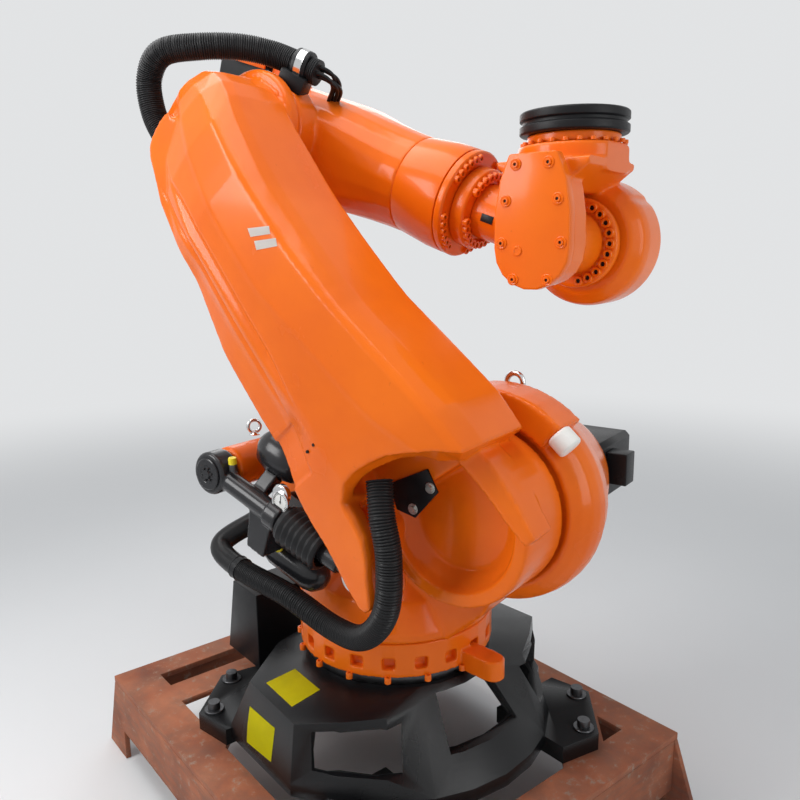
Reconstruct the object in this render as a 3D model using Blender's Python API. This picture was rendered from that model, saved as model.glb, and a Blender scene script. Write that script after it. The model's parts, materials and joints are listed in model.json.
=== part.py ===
"""Six-axis industrial robot arm on a welded steel stand.

Metres, +Z up. The origin is on the floor, under the centre of the whole machine as it stands here.
The tree of empties follows the joints: base, axis_1 turning column, axis_2 link arm, axis_3 upper arm,
axis_4 wrist roll, axis_5 wrist pitch, axis_6 tool flange, and the weight-balancing cylinder beside them.
Every piece is drawn in the frame of the empty that carries it.
"""

import bmesh
import bpy
from math import asin, atan2, cos, hypot, pi, radians, sin, sqrt
from mathutils import Matrix, Vector

# Clearances shared by all pieces
SEAT_GAP = 0.0003
RUN_GAP = 0.006
OVERRUN = 0.02

# Pose of the arm, as it stands here
TURN_ANGLE = radians(14.5)
LEAN_ANGLE = radians(36.02)
SLOPE_ANGLE = radians(19.54)

# Joint places
SHOULDER_FORWARD = 0.51
SHOULDER_HEIGHT = 1.00
LINK_LENGTH = 1.37
WRIST_DROP = 0.04
FOREARM_LENGTH = 1.005
FLANGE_REACH = 0.29

# Stand
STAND_HEIGHT = 0.35
STAND_REAR = 0.985
STAND_FRONT = 0.725
STAND_HALF_WIDTH = 0.714
STAND_PLATE = 0.025
STAND_BEAM_DEPTH = 0.20
STAND_WALL = 0.02
STAND_FLARE = 0.12
STAND_FOOT_LENGTH = 0.185
STAND_SLOT_BACK = 0.87
STAND_SLOT_WIDTH = 0.105
STAND_SLOT_LENGTH = 1.126
STAND_OPENING_REAR = 0.63
STAND_OPENING_FRONT = 0.583
STAND_OPENING_HALF_WIDTH = 0.576
STAND_STRAP_INNER = 0.832
STAND_STRAP_OUTER = 1.05

# Base casting
BASE_RADIUS = 0.555
BASE_RIM_HEIGHT = 0.08
BASE_SKIRT_LOW = 0.035
BASE_DECK_HEIGHT = 0.295
BASE_COLLAR_HEIGHT = 0.33
BASE_COLLAR_RADIUS = 0.345
BASE_BORE_RADIUS = 0.29
BASE_WALL = 0.03
FOOT_THICKNESS = 0.062
FOOT_INNER = 0.26
FOOT_FLANK = 0.57
FOOT_TIP = 0.60
FOOT_CORNER = 0.415
FRONT_WINDOW_ANGLE = radians(18.5)
FRONT_WINDOW_LOW = 0.165
FRONT_WINDOW_HIGH = 0.31
SIDE_WINDOW_START = radians(37)
SIDE_WINDOW_END = radians(68)
SIDE_WINDOW_LOW = 0.135
SIDE_WINDOW_HIGH = 0.265

# Connection box at the back of the base
BOX_BACK = 0.76
BOX_FRONT = 0.50
BOX_HALF_WIDTH = 0.30
BOX_LOW = 0.085
BOX_HIGH = 0.40
BOX_SLOPE = 0.07
BOX_DOOR = 0.012
BOX_DOOR_MARGIN = 0.02
BOX_NECK_HALF_WIDTH = 0.15

# Turning column
BEARING_RADIUS = 0.325
BEARING_HEIGHT = 0.0357
CROWN_RADIUS = 0.345
CROWN_LOW = 0.366
CROWN_RIM = 0.026
CROWN_TOOTH = 0.065
CROWN_HEIGHT = 0.115
CROWN_GROOVE = 0.03
CROWN_TEETH = 20
GEAR_UNIT_RADIUS = 0.25
GEAR_UNIT_LOW = 0.22
LUG_ANGLE = radians(-8.5)
LUG_LENGTH = 0.10
LUG_WIDTH = 0.075
LUG_HEIGHT = 0.052
COLUMN_HALF_WIDTH = 0.16
COLUMN_BACK = 0.42
COLUMN_TOP_BACK = 1.075
SHOULDER_RADIUS = 0.3085
SHOULDER_FACE = 0.236
SHOULDER_SIDE = 0.155
SHOULDER_FAR = 0.18
SHOULDER_FAR_RADIUS = 0.20
COLUMN_NOSE_RADIUS = 0.205
SHOULDER_BEAD = 0.06
NECK_HEIGHT = 0.60
LEDGE_START = radians(48)
LEDGE_END = radians(112)
LEDGE_INNER = 0.262
LEDGE_OUTER = 0.345
LEDGE_FACE = 0.262
BUFFER_RADIUS = 0.036
BUFFER_LENGTH = 0.055
MOTOR_1_BACK = 0.20
MOTOR_1_SIDE = 0.275
MOTOR_1_SIZE = 0.17
MOTOR_1_HEIGHT = 0.34
MOTOR_1_FOOT = 0.665
MOTOR_2_SIZE = 0.20
MOTOR_2_LENGTH = 0.30
MOTOR_2_FORWARD = 0.06
PLUG_SIZE = 0.07

# Weight-balancing cylinder
EYE_BACK = 0.343
EYE_HEIGHT = 1.022
CYLINDER_SIDE = 0.50
CYLINDER_PITCH = radians(20.2)
EYE_RADIUS = 0.07
EYE_THICKNESS = 0.072
EYE_PIN_RADIUS = 0.026
TUBE_RADIUS = 0.034
TUBE_BORE = 0.0235
TUBE_LENGTH = 0.56
TUBE_BORE_START = 0.125
ROD_RADIUS = 0.0228
ROD_LENGTH = 0.6245
ROD_BACK = 0.14
ROD_EYE_RADIUS = 0.045
ROD_EYE_THICKNESS = 0.056
BELLOWS_START = 0.335
BELLOWS_END = 0.495
BELLOWS_RADIUS = 0.067
BELLOWS_THICKNESS = 0.008
BELLOWS_FOLDS = 7
TANK_RADIUS = 0.057
TANK_LENGTH = 0.27
TANK_SIDE = 0.125
REAR_TANK_RADIUS = 0.075
REAR_TANK_LENGTH = 0.21
REAR_TANK_START = 0.06
REAR_TANK_SIDE = 0.12
REAR_TANK_RISE = 0.12
GAUGE_RADIUS = 0.032
GAUGE_THICKNESS = 0.022

# Link arm, in its own frame: Z runs from the shoulder to the elbow, X faces forward
ARM_INNER = 0.30
ARM_OUTER = 0.63
ARM_EDGE = 0.57
ARM_START = 0.12
ARM_END = 1.50
ARM_REAR = 0.36
ARM_CORNER = 0.03
HUB_RADIUS = 0.24
HUB_FACE = 0.44
HUB_SIDE = 0.246
BOWL_RADIUS = 0.185
BOWL_DEPTH = 0.07
POCKET_OUTER = 0.56
POCKET_HIGH = 0.34
SLOT_HALF_WIDTH = 0.036
CHANNEL_START = 1.23
CHANNEL_FAR = 0.04
LOBE_INNER = 0.40
LOBE_OUTER = 0.605
ELBOW_RADIUS = 0.165
ELBOW_SIDE = 0.275

# Upper arm, in its own frame: X runs along the forearm
UPPER_SIDE = 0.20
UPPER_TOP = 0.135
UPPER_BOTTOM = 0.20
UPPER_BACK = 0.22
UPPER_TAPER_END = 0.46
TUBE_ARM_RADIUS = 0.152
TUBE_END_RADIUS = 0.163
TUBE_ARM_END = 0.628
END_FLANGE_THICKNESS = 0.03
UPPER_HUB_RADIUS = 0.155
MOTOR_ARM_SIZE = 0.13
MOTOR_ARM_LENGTH = 0.28
MOTOR_ARM_RISE = 0.187
GUARD_THICKNESS = 0.006
GUARD_LENGTH = 0.27
GUARD_HALF_WIDTH = 0.10
NAMEPLATE_LENGTH = 0.26
NAMEPLATE_HEIGHT = 0.075
NAMEPLATE_DEPTH = 0.008

# Wrist
ROLL_FLANGE_RADIUS = 0.122
ROLL_FLANGE_THICKNESS = 0.05
NECK_RADIUS = 0.083
CROSS_RADIUS = 0.088
CROSS_NEAR = 0.115
CROSS_FAR = 0.052
CROSS_FLANGE_RADIUS = 0.128
CROSS_FLANGE_THICKNESS = 0.03
DRUM_RADIUS = 0.185
DRUM_NEAR = 0.06
DRUM_FAR = 0.245
COVER_FACE = 0.25
COVER_THICKNESS = 0.035
COVER_RADIUS = 0.108
CHEEK_NEAR = 0.125
HEAD_RADIUS = 0.153
HEAD_LOW = 0.205
HEAD_HIGH = 0.262
TOOL_RING_RADIUS = 0.128
DISC_RADIUS = 0.15
DISC_THICKNESS = 0.06
DISC_GROOVE = 0.008

# Hoses
HOSE_RADIUS = 0.034
CLAMP_RADIUS = 0.046
CLAMP_WIDTH = 0.035

FINISHES = {
    "orange": ((0.83, 0.165, 0.015), 0.28, 0.0),
    "black": ((0.018, 0.018, 0.02), 0.42, 0.0),
    "stand": ((0.30, 0.085, 0.035), 0.75, 0.0),
    "steel": ((0.62, 0.62, 0.60), 0.25, 1.0),
    "rubber": ((0.012, 0.012, 0.013), 0.5, 0.0),
    "white": ((0.82, 0.80, 0.74), 0.5, 0.0),
}


def clear_scene():
    for thing in list(bpy.data.objects):
        bpy.data.objects.remove(thing, do_unlink=True)


def paint(name, finish):
    colour, roughness, metallic = FINISHES[finish]
    made = bpy.data.materials.new(name)
    made.use_nodes = True
    shader = made.node_tree.nodes["Principled BSDF"]
    shader.inputs["Base Color"].default_value = (*colour, 1)
    shader.inputs["Roughness"].default_value = roughness
    shader.inputs["Metallic"].default_value = metallic
    return made


def pivot(name, parent, location, rotation=(0, 0, 0)):
    made = bpy.data.objects.new(name, None)
    bpy.context.scene.collection.objects.link(made)
    made.parent = parent
    made.location = location
    made.rotation_euler = rotation
    return made


def finish_mesh(name, form):
    bmesh.ops.recalc_face_normals(form, faces=form.faces)
    mesh = bpy.data.meshes.new(name)
    form.to_mesh(mesh)
    form.free()
    mesh.shade_smooth()
    mesh.set_sharp_from_angle(angle=radians(32))
    return mesh


def placed(along, a, b, h):
    """A point from two plane values and one along the named axis."""
    if along == "Z":
        return Vector((a, b, h))
    if along == "Y":
        return Vector((a, h, b))
    return Vector((h, a, b))


def loft(rings, closed=False):
    """Skin over rings of points; a ring of one point closes to a tip."""
    form = bmesh.new()
    rows = [[form.verts.new(p) for p in ring] for ring in rings]
    pairs = list(zip(rows, rows[1:]))
    if closed:
        pairs.append((rows[-1], rows[0]))
    for low, high in pairs:
        count = max(len(low), len(high))
        for i in range(count):
            j = (i + 1) % count
            corners = []
            for v in (
                low[i % len(low)],
                low[j % len(low)],
                high[j % len(high)],
                high[i % len(high)],
            ):
                if v not in corners:
                    corners.append(v)
            form.faces.new(corners)
    if not closed:
        for end in (rows[0], rows[-1]):
            if len(end) > 2:
                form.faces.new(end)
    return form


def prism(outline, low, high, along="Z"):
    return loft([[placed(along, a, b, h) for a, b in outline] for h in (low, high)])


def block(low, high):
    outline = [(low[0], low[1]), (high[0], low[1]), (high[0], high[1]), (low[0], high[1])]
    return prism(outline, low[2], high[2])


def lathe(profile, along="Z", steps=32, closed=False, centre=(0, 0)):
    """Turned form; each profile point is a radius and a place along the axis."""
    rings = []
    for radius, place in profile:
        if radius == 0:
            rings.append([placed(along, centre[0], centre[1], place)])
            continue
        ring = []
        for i in range(steps):
            t = 2 * pi * i / steps
            ring.append(
                placed(along, centre[0] + radius * cos(t), centre[1] + radius * sin(t), place)
            )
        rings.append(ring)
    return loft(rings, closed)


def rod_form(radius, low, high, along="Z", steps=32, centre=(0, 0)):
    return lathe([(0, low), (radius, low), (radius, high), (0, high)], along, steps, False, centre)


def chamfered(radius, low, high, edge, along="Z", steps=32, centre=(0, 0)):
    """Solid cylinder with both rims broken."""
    profile = [
        (0, low),
        (radius - edge, low),
        (radius, low + edge),
        (radius, high - edge),
        (radius - edge, high),
        (0, high),
    ]
    return lathe(profile, along, steps, False, centre)


def piece(name, form, finish, parent, location=(0, 0, 0), rotation=(0, 0, 0)):
    made = bpy.data.objects.new(name, finish_mesh(name, form))
    bpy.context.scene.collection.objects.link(made)
    made.data.materials.append(paint(name, finish))
    made.parent = parent
    made.location = location
    made.rotation_euler = rotation
    return made


def tool(target, form, operation, location=(0, 0, 0), rotation=(0, 0, 0)):
    """Joins a form to a piece or cuts it away, in the frame of the piece's parent."""
    name = target.name + "_" + operation.lower()
    made = bpy.data.objects.new(name, finish_mesh(name, form))
    bpy.context.scene.collection.objects.link(made)
    made.parent = target.parent
    made.location = location
    made.rotation_euler = rotation
    made.hide_render = True
    made.display_type = "WIRE"
    step = target.modifiers.new(name, "BOOLEAN")
    step.operation = operation
    step.object = made
    step.solver = "EXACT"
    return made


def cut(target, form, location=(0, 0, 0), rotation=(0, 0, 0)):
    return tool(target, form, "DIFFERENCE", location, rotation)


def join(target, form, location=(0, 0, 0), rotation=(0, 0, 0)):
    return tool(target, form, "UNION", location, rotation)


def eased(target, width, segments=1, angle=radians(40)):
    step = target.modifiers.new("edge", "BEVEL")
    step.width = width
    step.segments = segments
    step.limit_method = "ANGLE"
    step.angle_limit = angle
    return step


def between(table, place):
    """Straight reading of a table of (place, value) pairs."""
    for (a, va), (b, vb) in zip(table, table[1:]):
        if place <= b:
            return va + (vb - va) * (place - a) / (b - a)
    return table[-1][1]


def smooth_route(points, spacing):
    """Points at even spacing on a smooth curve through the route's own points."""
    knots = [Vector(p) for p in points]
    knots = [2 * knots[0] - knots[1]] + knots + [2 * knots[-1] - knots[-2]]
    dense = []
    for a, b, c, d in zip(knots, knots[1:], knots[2:], knots[3:]):
        for i in range(40):
            t = i / 40
            dense.append(
                0.5
                * (
                    2 * b
                    + (c - a) * t
                    + (2 * a - 5 * b + 4 * c - d) * t * t
                    + (3 * b - a - 3 * c + d) * t * t * t
                )
            )
    dense.append(knots[-2])
    length = sum((q - p).length for p, q in zip(dense, dense[1:]))
    count = max(2, round(length / spacing))
    step, walked, made = length / count, 0.0, [dense[0]]
    for p, q in zip(dense, dense[1:]):
        walked += (q - p).length
        if walked >= step * len(made) and len(made) < count:
            made.append(q)
    return made + [dense[-1]]


def hose(name, points, radius, parent, spacing):
    curve = bpy.data.curves.new(name, "CURVE")
    curve.dimensions = "3D"
    curve.bevel_depth = radius
    curve.bevel_resolution = 2
    curve.use_fill_caps = True
    route = [Vector(points[0])] + smooth_route(points[1:], spacing)
    line = curve.splines.new("POLY")
    line.points.add(len(route) - 1)
    for spot, p in zip(line.points, route):
        spot.co = (*p, 1)
    made = bpy.data.objects.new(name, curve)
    bpy.context.scene.collection.objects.link(made)
    curve.materials.append(paint(name, "rubber"))
    made.parent = parent
    return made


# Stand


def stand_side_outline():
    """Side plate seen from the side: a beam with a splayed foot at each end."""
    beam_low = -STAND_PLATE - STAND_BEAM_DEPTH
    top = -STAND_PLATE - SEAT_GAP
    rear_foot = -STAND_REAR - STAND_FLARE
    front_foot = STAND_FRONT + STAND_FLARE
    return [
        (-STAND_REAR, top),
        (rear_foot, -STAND_HEIGHT),
        (rear_foot + STAND_FOOT_LENGTH, -STAND_HEIGHT),
        (rear_foot + STAND_FOOT_LENGTH, beam_low),
        (front_foot - STAND_FOOT_LENGTH, beam_low),
        (front_foot - STAND_FOOT_LENGTH, -STAND_HEIGHT),
        (front_foot, -STAND_HEIGHT),
        (STAND_FRONT, top),
    ]


def stand(base):
    rear, front, half = -STAND_REAR, STAND_FRONT, STAND_HALF_WIDTH
    plate = piece(
        "stand_top_plate",
        block((rear, -half, -STAND_PLATE), (front, half, -SEAT_GAP)),
        "stand",
        base,
    )
    low, high = -STAND_PLATE - OVERRUN, OVERRUN
    slot = STAND_SLOT_LENGTH / 2
    cut(plate, block((-STAND_SLOT_BACK, -slot, low), (-STAND_SLOT_BACK + STAND_SLOT_WIDTH, slot, high)))
    side, inner, outer = STAND_OPENING_HALF_WIDTH, STAND_STRAP_INNER, STAND_STRAP_OUTER
    back, fore = STAND_OPENING_REAR, STAND_OPENING_FRONT
    middle = [
        (fore, -(inner - fore)),
        (fore, inner - fore),
        (inner - side, side),
        (side - inner, side),
        (-back, inner - back),
        (-back, -(inner - back)),
        (side - inner, -side),
        (inner - side, -side),
    ]
    cut(plate, prism(middle, low, high))
    for way in (-1, 1):
        for end, reach in ((1, fore), (-1, back)):
            corner = [
                (end * reach, way * side),
                (end * (outer - side), way * side),
                (end * reach, way * (outer - reach)),
            ]
            cut(plate, prism(corner, low, high))
        name = "stand_side_left" if way < 0 else "stand_side_right"
        edge = way * (half - STAND_WALL)
        piece(name, prism(stand_side_outline(), min(edge, way * half), max(edge, way * half), "Y"), "stand", base)
    beam_low = -STAND_PLATE - STAND_BEAM_DEPTH
    span = half - STAND_WALL - SEAT_GAP
    for name, start in (("stand_rear_beam", rear), ("stand_front_beam", front - STAND_WALL)):
        piece(
            name,
            block((start, -span, beam_low), (start + STAND_WALL, span, -STAND_PLATE - SEAT_GAP)),
            "stand",
            base,
        )


# Base casting

# Stations round one half of the base, from straight ahead to straight behind, as shares of BASE_RADIUS
DECK_SHARES = [
    (0.681, 0.0),
    (0.661, 0.162),
    (0.607, 0.308),
    (0.604, 0.558),
    (0.47, 0.775),
    (0.3135, 0.985),
    (-0.234, 0.959),
    (-0.54, 0.582),
    (-0.54, 0.0),
]
RIM_SHARES = [
    (1.0, 0.0),
    (0.971, 0.238),
    (0.892, 0.454),
    (0.742, 0.670),
    (0.505, 0.863),
    (0.27, 1.0),
    (-0.45, 1.0),
    (-0.83, 0.62),
    (-0.83, 0.0),
]


def base_ring(shares, size, height):
    half = [(a * size, b * size) for a, b in shares]
    around = half + [(a, -b) for a, b in reversed(half[1:-1])]
    return [Vector((a, b, height)) for a, b in around]


def base_circle(radius, height):
    ring = []
    for a, b in [(p[0], p[1]) for p in base_ring(DECK_SHARES, BASE_RADIUS, height)]:
        angle = atan2(b, a)
        ring.append(Vector((radius * cos(angle), radius * sin(angle), height)))
    return ring


def base_shell():
    inner = BASE_RADIUS - BASE_WALL
    rings = [
        base_ring(RIM_SHARES, BASE_RADIUS, BASE_SKIRT_LOW),
        base_ring(RIM_SHARES, BASE_RADIUS, BASE_RIM_HEIGHT),
        base_ring(DECK_SHARES, BASE_RADIUS, BASE_DECK_HEIGHT),
        base_circle(BASE_COLLAR_RADIUS, BASE_COLLAR_HEIGHT),
        base_circle(BASE_BORE_RADIUS, BASE_COLLAR_HEIGHT),
        base_circle(BASE_BORE_RADIUS, BASE_DECK_HEIGHT - BASE_WALL / 2),
        base_ring(DECK_SHARES, inner, BASE_DECK_HEIGHT - BASE_WALL),
        base_ring(RIM_SHARES, inner, BASE_RIM_HEIGHT),
        base_ring(RIM_SHARES, inner, BASE_SKIRT_LOW),
    ]
    return loft(rings, closed=True)


def foot_form(way_x, way_y):
    """Corner pad that carries one pair of hold-down bolts."""
    outline = [
        (FOOT_INNER, FOOT_INNER),
        (FOOT_FLANK, FOOT_INNER),
        (FOOT_TIP, FOOT_CORNER),
        (FOOT_CORNER, FOOT_TIP),
        (FOOT_INNER, FOOT_FLANK),
    ]
    return prism([(way_x * a, way_y * b) for a, b in outline], 0, FOOT_THICKNESS)


def window_form(start, end, low, high):
    """Tapered cutter that leaves a window between two angles and two heights."""
    near, far = BASE_BORE_RADIUS - OVERRUN, BASE_RADIUS + OVERRUN
    rings = []
    for radius in (near, far):
        rings.append(
            [
                Vector((radius * cos(t), radius * sin(t), z))
                for t, z in ((start, low), (end, low), (end, high), (start, high))
            ]
        )
    return loft(rings)


def base_casting(base):
    body = piece("base_casting", base_shell(), "black", base)
    for way_x in (-1, 1):
        for way_y in (-1, 1):
            join(body, foot_form(way_x, way_y))
    cut(body, window_form(-FRONT_WINDOW_ANGLE, FRONT_WINDOW_ANGLE, FRONT_WINDOW_LOW, FRONT_WINDOW_HIGH))
    for way in (-1, 1):
        start, end = sorted((way * SIDE_WINDOW_START, way * SIDE_WINDOW_END))
        cut(body, window_form(start, end, SIDE_WINDOW_LOW, SIDE_WINDOW_HIGH))
    bearing = lathe(
        [
            (BASE_BORE_RADIUS, BASE_COLLAR_HEIGHT + SEAT_GAP),
            (BEARING_RADIUS, BASE_COLLAR_HEIGHT + SEAT_GAP),
            (BEARING_RADIUS, BASE_COLLAR_HEIGHT + BEARING_HEIGHT),
            (BASE_BORE_RADIUS, BASE_COLLAR_HEIGHT + BEARING_HEIGHT),
        ],
        steps=48,
        closed=True,
    )
    piece("axis_1_bearing", bearing, "steel", base)


def base_rear(height):
    """Where the sloping rear wall of the base stands at one height."""
    share = (height - BASE_RIM_HEIGHT) / (BASE_DECK_HEIGHT - BASE_RIM_HEIGHT)
    rim, deck = RIM_SHARES[-1][0], DECK_SHARES[-1][0]
    return BASE_RADIUS * (rim + (deck - rim) * share)


def connection_box(base):
    wide = BOX_HALF_WIDTH
    back, front = -BOX_BACK, -BOX_FRONT
    rings = [
        [Vector((x, y, BOX_LOW)) for x, y in ((back, -wide), (front, -wide), (front, wide), (back, wide))],
        [
            Vector((x, y, BOX_HIGH))
            for x, y in ((back + BOX_SLOPE, -wide), (front, -wide), (front, wide), (back + BOX_SLOPE, wide))
        ],
    ]
    box = piece("connection_box", loft(rings), "black", base)
    neck_low, neck_high = BOX_LOW + OVERRUN, BASE_RIM_HEIGHT * 2
    neck = [(front - OVERRUN, neck_low), (base_rear(neck_low) - 2 * SEAT_GAP, neck_low)]
    neck += [(base_rear(neck_high) - 2 * SEAT_GAP, neck_high), (front - OVERRUN, neck_high)]
    join(box, prism(neck, -BOX_NECK_HALF_WIDTH, BOX_NECK_HALF_WIDTH, "Y"))
    door_low, door_high = BOX_LOW + BOX_DOOR_MARGIN, BOX_HIGH - BOX_DOOR_MARGIN
    height = BOX_HIGH - BOX_LOW
    door = []
    for offset in (SEAT_GAP, BOX_DOOR):
        door.append(
            [
                Vector((back + BOX_SLOPE * (z - BOX_LOW) / height - offset, y, z))
                for y, z in (
                    (-wide + BOX_DOOR_MARGIN, door_low),
                    (wide - BOX_DOOR_MARGIN, door_low),
                    (wide - BOX_DOOR_MARGIN, door_high),
                    (-wide + BOX_DOOR_MARGIN, door_high),
                )
            ]
        )
    piece("connection_box_door", loft(door), "black", base)


# Turning column


def crown_ring(outer, notch, height):
    """Ring of points whose radius drops in each notch between the teeth."""
    ring = []
    for i in range(CROWN_TEETH):
        start = 2 * pi * i / CROWN_TEETH
        width = 2 * pi / CROWN_TEETH
        for share, radius in ((0.0, outer), (0.6, outer), (0.6, notch), (1.0, notch)):
            t = start + share * width
            ring.append(Vector((radius * cos(t), radius * sin(t), height)))
    return ring


def column_crown(turn):
    low = CROWN_LOW
    rim, tooth, top = low + CROWN_RIM, low + CROWN_TOOTH, low + CROWN_HEIGHT
    inner = CROWN_RADIUS - CROWN_GROOVE
    bore = BASE_BORE_RADIUS
    rings = [
        crown_ring(bore, bore, low),
        crown_ring(CROWN_RADIUS, CROWN_RADIUS, low),
        crown_ring(CROWN_RADIUS, CROWN_RADIUS, rim),
        crown_ring(CROWN_RADIUS, inner, rim),
        crown_ring(CROWN_RADIUS, inner, tooth),
        crown_ring(CROWN_RADIUS, CROWN_RADIUS, tooth),
        crown_ring(CROWN_RADIUS, CROWN_RADIUS, top),
        crown_ring(bore, bore, top),
    ]
    crown = piece("column_crown", loft(tidy(rings), closed=True), "orange", turn)
    reach = CROWN_RADIUS - CROWN_GROOVE / 2
    lug = block(
        (reach, -LUG_WIDTH / 2, low - LUG_HEIGHT / 3),
        (CROWN_RADIUS + LUG_LENGTH, LUG_WIDTH / 2, low + LUG_HEIGHT),
    )
    join(crown, lug, rotation=(0, 0, LUG_ANGLE))
    return crown


def tidy(rings):
    """Pulls points that would coincide a hair apart, so that each ring stays a clean loop."""
    made = []
    for ring in rings:
        loop = []
        for i, p in enumerate(ring):
            after = ring[(i + 1) % len(ring)]
            if (p - after).length < SEAT_GAP:
                before = ring[i - 1]
                p = p + (before - p) * 0.02
            loop.append(p)
        made.append(loop)
    return made


def column_side_outline():
    """Column seen from the side, from the crown up round the shoulder and back to the cylinder's bracket."""
    low = CROWN_LOW + CROWN_HEIGHT + SEAT_GAP
    x, z, r = SHOULDER_FORWARD, SHOULDER_HEIGHT, COLUMN_NOSE_RADIUS
    outline = [(-CROWN_RADIUS * 0.93, low), (CROWN_RADIUS * 0.93, low), (x - r * 0.3, NECK_HEIGHT)]
    for degrees in range(-75, 106, 15):
        t = radians(degrees)
        outline.append((x + r * cos(t), z + r * sin(t)))
    outline += [
        (-EYE_BACK * 0.4, COLUMN_TOP_BACK + EYE_RADIUS * 0.3),
        (-COLUMN_BACK + EYE_RADIUS * 0.5, COLUMN_TOP_BACK),
        (-COLUMN_BACK, COLUMN_TOP_BACK - EYE_RADIUS),
        (-COLUMN_BACK, NECK_HEIGHT + EYE_RADIUS),
    ]
    return outline


def shoulder_ring_form():
    """Round gearbox housing of axis 2 with the rolled bead on its near face."""
    bead, r = SHOULDER_BEAD, SHOULDER_RADIUS
    face, side = -SHOULDER_FACE, -SHOULDER_SIDE
    profile = [
        (0, face + bead * 0.2),
        (HUB_RADIUS * 0.98, face + bead * 0.2),
        (HUB_RADIUS * 1.02, face),
        (HUB_RADIUS * 1.07, face),
        (r - bead * 0.45, face + bead * 0.35),
        (r - bead * 0.12, face + bead * 0.8),
        (r, side),
        (r, side + bead * 0.6),
        (r - bead * 0.35, side + bead * 1.8),
        (r - bead * 0.8, side + bead * 2.6),
        (SHOULDER_FAR_RADIUS + bead * 0.4, SHOULDER_FAR - bead),
        (SHOULDER_FAR_RADIUS, SHOULDER_FAR),
        (0, SHOULDER_FAR),
    ]
    return lathe(profile, "Y", 48, False, (SHOULDER_FORWARD, SHOULDER_HEIGHT))


def ledge_form():
    """Raised rim that carries the buffer, an arc over the top of the shoulder."""
    outline = []
    for radius, order in ((LEDGE_OUTER, 1), (LEDGE_INNER, -1)):
        for i in range(0, 9)[::order]:
            t = LEDGE_START + (LEDGE_END - LEDGE_START) * i / 8
            outline.append((SHOULDER_FORWARD + radius * cos(t), SHOULDER_HEIGHT + radius * sin(t)))
    return prism(outline, -LEDGE_FACE, -SHOULDER_SIDE + SHOULDER_BEAD / 2, "Y")


def column_casting(turn):
    half = COLUMN_HALF_WIDTH
    body = piece("column_casting", prism(column_side_outline(), -half, half, "Y"), "orange", turn)
    low = CROWN_LOW + CROWN_HEIGHT + SEAT_GAP
    neck = lathe(
        [
            (0, low),
            (CROWN_RADIUS, low),
            (CROWN_RADIUS, low + CROWN_RIM),
            (CROWN_RADIUS * 0.86, NECK_HEIGHT),
            (CROWN_RADIUS * 0.6, NECK_HEIGHT + CROWN_TOOTH),
            (0, NECK_HEIGHT + CROWN_TOOTH),
        ],
        steps=48,
    )
    join(body, neck)
    seat = chamfered(
        MOTOR_1_SIZE * 0.6, low + CROWN_RIM, MOTOR_1_FOOT, MOTOR_1_SIZE / 16, "Z", 32, (-MOTOR_1_BACK, MOTOR_1_SIDE)
    )
    join(body, seat)
    join(body, shoulder_ring_form())
    join(body, ledge_form())
    arm_end = CYLINDER_SIDE - EYE_THICKNESS / 2 - RUN_GAP
    bracket = chamfered(
        EYE_RADIUS, -arm_end, -half + OVERRUN, EYE_RADIUS / 8, "Y", 32, (-EYE_BACK, EYE_HEIGHT)
    )
    join(body, bracket)
    web = prism(
        [
            (-EYE_BACK, EYE_HEIGHT + EYE_RADIUS * 0.8),
            (-EYE_BACK + EYE_RADIUS * 1.6, EYE_HEIGHT + EYE_RADIUS * 0.4),
            (-EYE_BACK + EYE_RADIUS * 1.4, EYE_HEIGHT - EYE_RADIUS * 0.8),
            (-EYE_BACK, EYE_HEIGHT - EYE_RADIUS * 0.8),
        ],
        -half - EYE_RADIUS * 2,
        -half + OVERRUN,
        "Y",
    )
    join(body, web)
    pin = rod_form(
        EYE_PIN_RADIUS,
        -CYLINDER_SIDE - EYE_THICKNESS / 2,
        -arm_end + OVERRUN,
        "Y",
        24,
        (-EYE_BACK, EYE_HEIGHT),
    )
    join(body, pin)
    spigot = rod_form(
        HUB_RADIUS * 0.7, -HUB_SIDE + SEAT_GAP, -SHOULDER_SIDE, "Y", 32, (SHOULDER_FORWARD, SHOULDER_HEIGHT)
    )
    join(body, spigot)
    return body


def column_fittings(turn):
    top = CROWN_LOW + CROWN_HEIGHT
    gears = chamfered(GEAR_UNIT_RADIUS, GEAR_UNIT_LOW, top, CROWN_GROOVE / 3, "Z", 32)
    piece("axis_1_gear_unit", gears, "steel", turn)
    mid = LEDGE_OUTER - BUFFER_RADIUS * 0.75
    t = LEDGE_START
    buffer = chamfered(BUFFER_RADIUS, SEAT_GAP, BUFFER_LENGTH, BUFFER_RADIUS / 6, "Z", 20)
    piece(
        "column_buffer",
        buffer,
        "white",
        turn,
        (
            SHOULDER_FORWARD + mid * cos(t),
            -LEDGE_FACE + BUFFER_RADIUS * 0.7,
            SHOULDER_HEIGHT + mid * sin(t),
        ),
        (0, pi - t, 0),
    )
    size = MOTOR_1_SIZE / 2
    foot = MOTOR_1_FOOT + SEAT_GAP
    motor = chamfered(size * 0.98, foot, foot + MOTOR_1_HEIGHT, size / 8, "Z", 24)
    piece("axis_1_motor", motor, "black", turn, (-MOTOR_1_BACK, MOTOR_1_SIDE, 0))
    size = MOTOR_2_SIZE / 2
    near = SHOULDER_FAR + SEAT_GAP
    motor = piece(
        "axis_2_motor",
        block((-size, near, -size), (size, near + MOTOR_2_LENGTH, size)),
        "black",
        turn,
        (SHOULDER_FORWARD + MOTOR_2_FORWARD, 0, SHOULDER_HEIGHT),
    )
    eased(motor, size / 6)
    plug = PLUG_SIZE / 2
    piece(
        "axis_2_motor_plug",
        block((size + SEAT_GAP, near + PLUG_SIZE, -plug), (size + PLUG_SIZE, near + 2 * PLUG_SIZE, plug * 2)),
        "black",
        turn,
        (SHOULDER_FORWARD + MOTOR_2_FORWARD, 0, SHOULDER_HEIGHT),
    )


# Weight-balancing cylinder


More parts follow.
